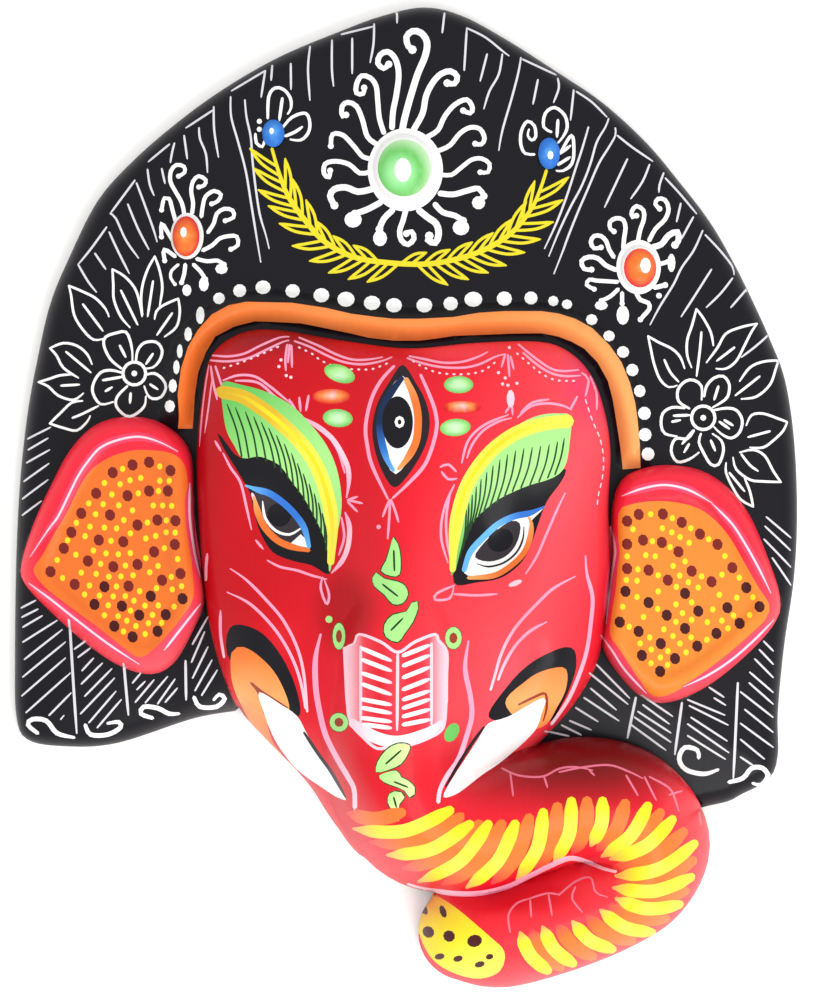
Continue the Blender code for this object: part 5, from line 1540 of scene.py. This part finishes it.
class Painting:
    """All the paint in order, over the ground colours of crown, face, ears and trunk."""

    def __init__(self, form, settings):
        self.ground = painted(settings.ground)
        steps = [[form.drawn(line) for line in form.step_lines(*part)] for part in form.raised_parts()]
        face, trunk, *ears = (Area(lines[0], tone) for lines, tone in zip(steps, ground_tones()))
        self.layers = [face] + ears + crown_paint(painted(settings.headband))
        self.layers += ear_paint(painted(settings.ears)) + [trunk] + brow_paint()
        self.layers += left_eye_paint() + right_eye_paint() + muzzle_paint() + trunk_paint()
        self.guides = [(lines[1], True) for lines in steps]
        for x, y, half_x, half_y, _ in BOSSES:
            self.guides += [(oval(x, y, share * half_x, share * half_y), True) for share in BOSS_RINGS]
        self.guides.append((form.drawn(form.crease()), False))
        for layer in self.layers:
            self.guides += layer.lines

    def guide_lines(self, outline):
        """Points and edges along every shape's border, kept clear of the mask's own edge."""
        points, edges = [], []
        for line, closed in self.guides:
            keep = inside(line, outline) & (line_distance(line, outline) > EDGE_MARGIN)
            first = len(points)
            index = np.cumsum(keep) - 1 + first
            points.extend(line[keep])
            count = len(line)
            for i in range(count if closed else count - 1):
                j = (i + 1) % count
                if keep[i] and keep[j]:
                    edges.append((int(index[i]), int(index[j])))
        return points, edges

    def labels(self, middles):
        """Which layer lies on top at each place, or -1 for the bare ground."""
        top = np.full(len(middles), -1)
        order = np.argsort(middles[:, 1])
        rows = middles[order, 1]
        for number, layer in enumerate(self.layers):
            low, high = np.searchsorted(rows, (layer.low[1], layer.high[1]))
            near = order[low:high]
            near = near[(middles[near, 0] >= layer.low[0]) & (middles[near, 0] <= layer.high[0])]
            if len(near):
                top[near[layer.covers(middles[near])]] = number
        return top

    def colours(self, corners, top):
        """The paint at each triangle's three corners."""
        out = np.tile(fine(self.ground), (len(corners), 3, 1))
        for number in np.unique(top[top >= 0]):
            rows = top == number
            paint = self.layers[number].colours(corners[rows].reshape(-1, 2))
            out[rows] = paint.reshape(-1, 3, 3)
        return out


def spaced(candidates, taken, gap):
    """The candidates that stand clear of the taken points."""
    tree = KDTree(len(taken))
    for i, point in enumerate(taken):
        tree.insert((point[0], point[1], 0), i)
    tree.balance()
    if not len(taken):
        return list(candidates)
    return [p for p in candidates if tree.find((p[0], p[1], 0))[2] > gap]


def front_sheet(form, painting):
    """Plan corners and triangles of the front, with every paint edge among their edges."""
    outline = form.drawn(form.outline)
    points, edges = painting.guide_lines(outline)
    rings = [(form.outline, RIM_RINGS)] + [(loop, STEP_RINGS) for loop, _ in form.raised_parts()]
    for loop, reaches in rings:
        for reach in reaches:
            extra = ring(form.drawn(loop), reach, FIELD_STEP)
            extra = extra[inside(extra, outline)]
            extra = extra[line_distance(extra, outline) > EDGE_MARGIN]
            points += spaced(extra, points, POINT_GAP)
    field = hexagon_field(outline, FIELD_STEP)
    field = field[line_distance(field, outline) > FIELD_STEP * 0.5]
    points += spaced(field, points, FIELD_STEP * FIELD_SHARE)
    count = len(outline)
    places = [Vector(p) for p in outline] + [Vector(p) for p in points]
    edges = [(a + count, b + count) for a, b in edges]
    verts, _, triangles, _, _, _ = delaunay_2d_cdt(places, edges, [list(range(count))], 1, 1e-3)
    return np.array([tuple(v) for v in verts]), triangles


def back_sheet(form, outline):
    """Plan corners and triangles of the back, over the same edge as the front."""
    points = []
    for reach in (RIM_LAND, RIM_LAND + form.wall / 2, RIM_LAND + form.wall):
        extra = ring(form.outline, reach, BACK_STEP * form.scale)
        points += spaced(extra, points, BACK_GAP)
    for loop in (form.face, form.trunk, *form.ears):
        for share in BACK_STEPS:
            extra = ring(loop, share * form.wall, BACK_STEP * form.scale)
            points += spaced(extra, points, BACK_GAP)
    field = hexagon_field(form.outline, BACK_STEP * form.scale)
    points += spaced(field, points, BACK_STEP * form.scale * FIELD_SHARE)
    points = np.array(points)
    points = points[inside(points, form.outline)]
    points = points[line_distance(points, form.outline) > RIM_LAND * LAND_KEEP]
    places = [Vector(p) for p in outline] + [Vector(p) for p in points]
    verts, _, triangles, _, _, _ = delaunay_2d_cdt(places, [], [list(range(len(outline)))], 1, 1e-7)
    return np.array([tuple(v) for v in verts]), triangles


def skin_mesh(settings):
    """The whole closed skin, with its paint in a colour attribute and its slopes as normals."""
    form = MaskForm(settings.height, settings.wall)
    painting = Painting(form, settings)
    drawn_plan, triangles = front_sheet(form, painting)
    plan = form.place(drawn_plan)
    rim = rim_order(triangles, plan)
    level = form.height(plan)
    level[rim] = RIM_LIP
    under, under_triangles = back_sheet(form, plan[rim])
    under_level = form.back(under)
    under_level[:len(rim)] = 0.0
    front = np.column_stack((plan, level))
    back = np.column_stack((under, under_level))
    corners = np.array(triangles)
    under_corners = np.array(under_triangles)[:, ::-1] + len(front)
    lower = np.arange(len(rim)) + len(front)
    upper = np.array(rim)
    next_lower, next_upper = np.roll(lower, -1), np.roll(upper, -1)
    side = np.vstack((np.column_stack((lower, next_lower, next_upper)),
                      np.column_stack((lower, next_upper, upper))))
    faces = np.vstack((corners, under_corners, side))
    places = np.clip(np.vstack((front, back)), CAD_LOW, CAD_HIGH)
    mesh = bpy.data.meshes.new("painted_mask")
    mesh.from_pydata(places.tolist(), [], faces.tolist())
    middles = drawn_plan[corners].mean(axis=1)
    paint = painting.colours(drawn_plan[corners], painting.labels(middles))
    colours = np.ones((len(faces), 3, 4))
    colours[:len(corners), :, :3] = paint
    colours[len(corners):, :, :3] = fine(PAPER)
    colours[len(corners) + len(under_corners):, :, :3] = fine(painting.ground)
    layer = mesh.color_attributes.new("paint", "FLOAT_COLOR", "CORNER")
    layer.data.foreach_set("color", colours.ravel())
    varnished = np.zeros((len(faces), 3))
    varnished[:len(corners)] = 1.0
    varnished[len(corners) + len(under_corners):] = EDGE_VARNISH
    varnish = mesh.attributes.new("varnish", "FLOAT", "CORNER")
    varnish.data.foreach_set("value", varnished.ravel())
    mesh.shade_smooth()
    slopes = form.slopes(plan)[corners]
    first, second, third = (front[corners[:, k]] for k in range(3))
    facing = np.cross(second - first, third - first)
    facing /= np.maximum(np.linalg.norm(facing, axis=1), 1e-15)[:, None]
    agree = np.einsum("fij,fj->fi", slopes, facing)[:, :, None] > SMOOTH_COSINE
    normals = np.zeros((len(faces), 3, 3))
    normals[:len(corners)] = np.where(agree, slopes, facing[:, None])
    mesh.normals_split_custom_set(normals.reshape(-1, 3).tolist())
    mesh.validate()
    return mesh


class Value:
    """A shader value that takes part in ordinary sums."""

    def __init__(self, maker, socket):
        self.maker = maker
        self.socket = socket

    def __add__(self, other):
        return self.maker.sum("ADD", self, other)

    def __sub__(self, other):
        return self.maker.sum("SUBTRACT", self, other)

    def __mul__(self, other):
        return self.maker.sum("MULTIPLY", self, other)

    def __rsub__(self, other):
        return self.maker.sum("SUBTRACT", other, self)

    __radd__ = __add__
    __rmul__ = __mul__


class Maker:
    """Makes nodes in one material."""

    def __init__(self, name):
        self.material = bpy.data.materials.new(name)
        self.material.use_nodes = True
        self.tree = self.material.node_tree
        self.shader = self.tree.nodes["Principled BSDF"]

    def node(self, kind, out, settings=None, **inputs):
        """A node with its settings and inputs, as the value of one of its outputs."""
        node = self.tree.nodes.new(kind)
        for name, value in (settings or {}).items():
            setattr(node, name, value)
        for name, value in inputs.items():
            key = int(name[1:]) if name[1:].isdigit() else name.replace("_", " ")
            self.feed(node.inputs[key], value)
        return Value(self, node.outputs[out])

    def feed(self, socket, value):
        """Links a value to an input, or sets the input to a constant."""
        if isinstance(value, Value):
            self.tree.links.new(value.socket, socket)
        else:
            socket.default_value = value

    def sum(self, operation, first, second):
        """One step of arithmetic."""
        return self.node("ShaderNodeMath", 0, {"operation": operation}, _0=first, _1=second)

    def between(self, value, low, high, to_low, to_high):
        """A value carried from one range to another and held to its ends."""
        return self.node("ShaderNodeMapRange", 0, None, Value=value, From_Min=low, From_Max=high,
                         To_Min=to_low, To_Max=to_high)

    def mix(self, share, first, second, blend_type="MIX"):
        """Two colours mixed."""
        return self.node("ShaderNodeMix", 2, {"data_type": "RGBA", "blend_type": blend_type},
                         _0=share, _6=first, _7=second)


def painted_paper():
    """Brushed paint under varnish on the front, and bare paper and paste on the back."""
    maker = Maker("painted_papier_mache")
    place = maker.node("ShaderNodeTexCoord", 3)
    paint = maker.node("ShaderNodeAttribute", 0, {"attribute_name": "paint"})
    varnish = maker.node("ShaderNodeAttribute", 2, {"attribute_name": "varnish"})
    broad = maker.node("ShaderNodeTexNoise", 0, None, Vector=place, Scale=CLOUD_SCALE, Detail=4.0)
    grain = maker.node("ShaderNodeTexNoise", 0, None, Vector=place, Scale=GRAIN_SCALE, Detail=3.0)
    stretched = maker.node("ShaderNodeMapping", 0, None, Vector=place, Scale=BRUSH_STRETCH)
    brush = maker.node("ShaderNodeTexNoise", 0, None, Vector=stretched, Scale=BRUSH_SCALE, Detail=3.0)
    fibres = maker.node("ShaderNodeTexNoise", 0, None, Vector=place, Scale=FIBRE_SCALE, Detail=6.0,
                        Roughness=0.65)
    tone = PAINT_GAIN + broad * PAINT_CLOUDS + brush * PAINT_BRUSHING
    shade = maker.node("ShaderNodeCombineColor", 0, None, Red=tone, Green=tone, Blue=tone)
    brushed = maker.mix(1.0, paint, shade, "MULTIPLY")
    scrap = maker.between(fibres, 0.35, 0.65, 0.0, 1.0)
    paper = maker.mix(scrap, PAPER_DARK, PAPER_LIGHT)
    maker.feed(maker.shader.inputs["Base Color"], maker.mix(varnish, paper, brushed))
    gloss = GLOSS + broad * GLOSS_CLOUDS + grain * GLOSS_GRAIN
    maker.feed(maker.shader.inputs["Roughness"], PAPER_ROUGHNESS + varnish * (gloss - PAPER_ROUGHNESS))
    maker.feed(maker.shader.inputs["Coat Weight"], varnish * COAT)
    maker.shader.inputs["Coat Roughness"].default_value = COAT_ROUGHNESS
    maker.shader.inputs["Specular IOR Level"].default_value = SPECULAR
    relief = broad * 1.0 + fibres * (1.0 - varnish) * 1.2 + brush * 0.12 + grain * 0.05
    bump = maker.node("ShaderNodeBump", 0, None, Strength=BUMP_STRENGTH, Distance=BUMP_DEPTH,
                      Height=relief)
    maker.feed(maker.shader.inputs["Normal"], bump)
    return maker.material


def plain_material(name, colour, roughness):
    """A flat finish for the stage."""
    maker = Maker(name)
    maker.shader.inputs["Base Color"].default_value = (*colour, 1.0)
    maker.shader.inputs["Roughness"].default_value = roughness
    return maker.material


class MaskSettings(bpy.types.PropertyGroup):
    """Sizes and colours of the mask, and its stage."""

    height: FloatProperty(name="Height", description="Height of the mask from chin to crown",
                          default=0.2962, min=0.1, max=1.0, unit="LENGTH")
    wall: FloatProperty(name="Wall", description="Thickness of the paper wall",
                        default=0.004, min=0.002, max=0.02, unit="LENGTH")
    ground: FloatVectorProperty(name="Crown", description="Colour of the crown behind the brushwork",
                                subtype="COLOR_GAMMA", default=chosen(BLACK), min=0.0, max=1.0)
    headband: FloatVectorProperty(name="Headband", description="Colour of the roll round the brow",
                                  subtype="COLOR_GAMMA", default=chosen(BAND_ORANGE), min=0.0, max=1.0)
    ears: FloatVectorProperty(name="Ears", description="Colour of the spotted fields of the ears",
                              subtype="COLOR_GAMMA", default=chosen(EAR_ORANGE), min=0.0, max=1.0)
    camera_distance: FloatProperty(name="Camera distance", description="Camera's height over the floor",
                                   default=3.0, min=0.5, max=10.0, unit="LENGTH")
    key_power: FloatProperty(name="Key light", description="Power of the key light",
                             default=24.0, min=0.0, unit="POWER")


class OBJECT_OT_build_ganesha_mask(bpy.types.Operator):
    """Build the painted mask"""

    bl_idname = "object.build_ganesha_mask"
    bl_label = "Build Mask"

    def execute(self, context):
        settings = context.scene.ganesha_mask
        mask = bpy.data.objects.new("painted_mask", skin_mesh(settings))
        mask.data.materials.append(painted_paper())
        context.scene.collection.objects.link(mask)
        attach(mask, "root")
        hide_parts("mask")
        return {"FINISHED"}


class OBJECT_OT_build_mask_stage(bpy.types.Operator):
    """Build the floor, the lights and the camera"""

    bl_idname = "object.build_mask_stage"
    bl_label = "Build Stage"

    def execute(self, context):
        settings = context.scene.ganesha_mask
        add_floor(context)
        add_lights(context, settings)
        add_camera(context, settings)
        return {"FINISHED"}


class VIEW3D_PT_ganesha_mask(bpy.types.Panel):
    """Sidebar panel for the mask"""

    bl_label = "Ganesha Mask"
    bl_idname = "VIEW3D_PT_ganesha_mask"
    bl_space_type = "VIEW_3D"
    bl_region_type = "UI"
    bl_category = "Mask"

    def draw(self, context):
        settings = context.scene.ganesha_mask
        for name in ("height", "wall", "ground", "headband", "ears", "camera_distance", "key_power"):
            self.layout.prop(settings, name)
        self.layout.operator(OBJECT_OT_build_ganesha_mask.bl_idname)
        self.layout.operator(OBJECT_OT_build_mask_stage.bl_idname)


def add_floor(context):
    """A wide pale floor just under the mask."""
    bpy.ops.mesh.primitive_plane_add(size=FLOOR_SIZE, location=(0, 0, -FLOOR_GAP))
    floor = context.object
    floor.name = "floor"
    floor.data.materials.append(plain_material("pale_floor", FLOOR_COLOUR, FLOOR_ROUGHNESS))
    floor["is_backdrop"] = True


def add_lights(context, settings):
    """A broad key light from the lower right and a soft white surround."""
    data = bpy.data.lights.new("key_light", "AREA")
    data.energy = settings.key_power
    data.size = KEY_SIZE
    light = bpy.data.objects.new("key_light", data)
    light.location = KEY_PLACE
    light.rotation_euler = (-Vector(KEY_PLACE)).to_track_quat("-Z", "Y").to_euler()
    context.scene.collection.objects.link(light)
    light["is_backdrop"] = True
    world = bpy.data.worlds.new("surround")
    world.use_nodes = True
    background = world.node_tree.nodes["Background"]
    background.inputs["Color"].default_value = (1.0, 1.0, 1.0, 1.0)
    background.inputs["Strength"].default_value = SURROUND_STRENGTH
    context.scene.world = world


def add_camera(context, settings):
    """A long lens straight over the mask, as the photograph sees it."""
    scale = settings.height / DRAWN_HEIGHT
    x, y = metres(FRAME_MIDDLE, scale)
    data = bpy.data.cameras.new("camera")
    data.sensor_width = SENSOR
    data.lens = SENSOR * (settings.camera_distance - FOCUS_HEIGHT) / (FRAME_HEIGHT * scale * 1000)
    data.clip_end = 4 * settings.camera_distance
    camera = bpy.data.objects.new("camera", data)
    camera.location = (x, y, settings.camera_distance)
    context.scene.collection.objects.link(camera)
    context.scene.camera = camera
    context.scene.view_settings.view_transform = "Standard"
    camera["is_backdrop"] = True


CLASSES = (MaskSettings, OBJECT_OT_build_ganesha_mask, OBJECT_OT_build_mask_stage,
           VIEW3D_PT_ganesha_mask)


def register():
    """Adds the classes and the scene's settings."""
    for cls in CLASSES:
        bpy.utils.register_class(cls)
    bpy.types.Scene.ganesha_mask = PointerProperty(type=MaskSettings)


def unregister():
    """Removes them again."""
    del bpy.types.Scene.ganesha_mask
    for cls in reversed(CLASSES):
        bpy.utils.unregister_class(cls)


def main():
    """Builds the mask and its stage."""
    register()
    bpy.ops.object.build_ganesha_mask()
    bpy.ops.object.build_mask_stage()


if __name__ == "__main__":
    main()
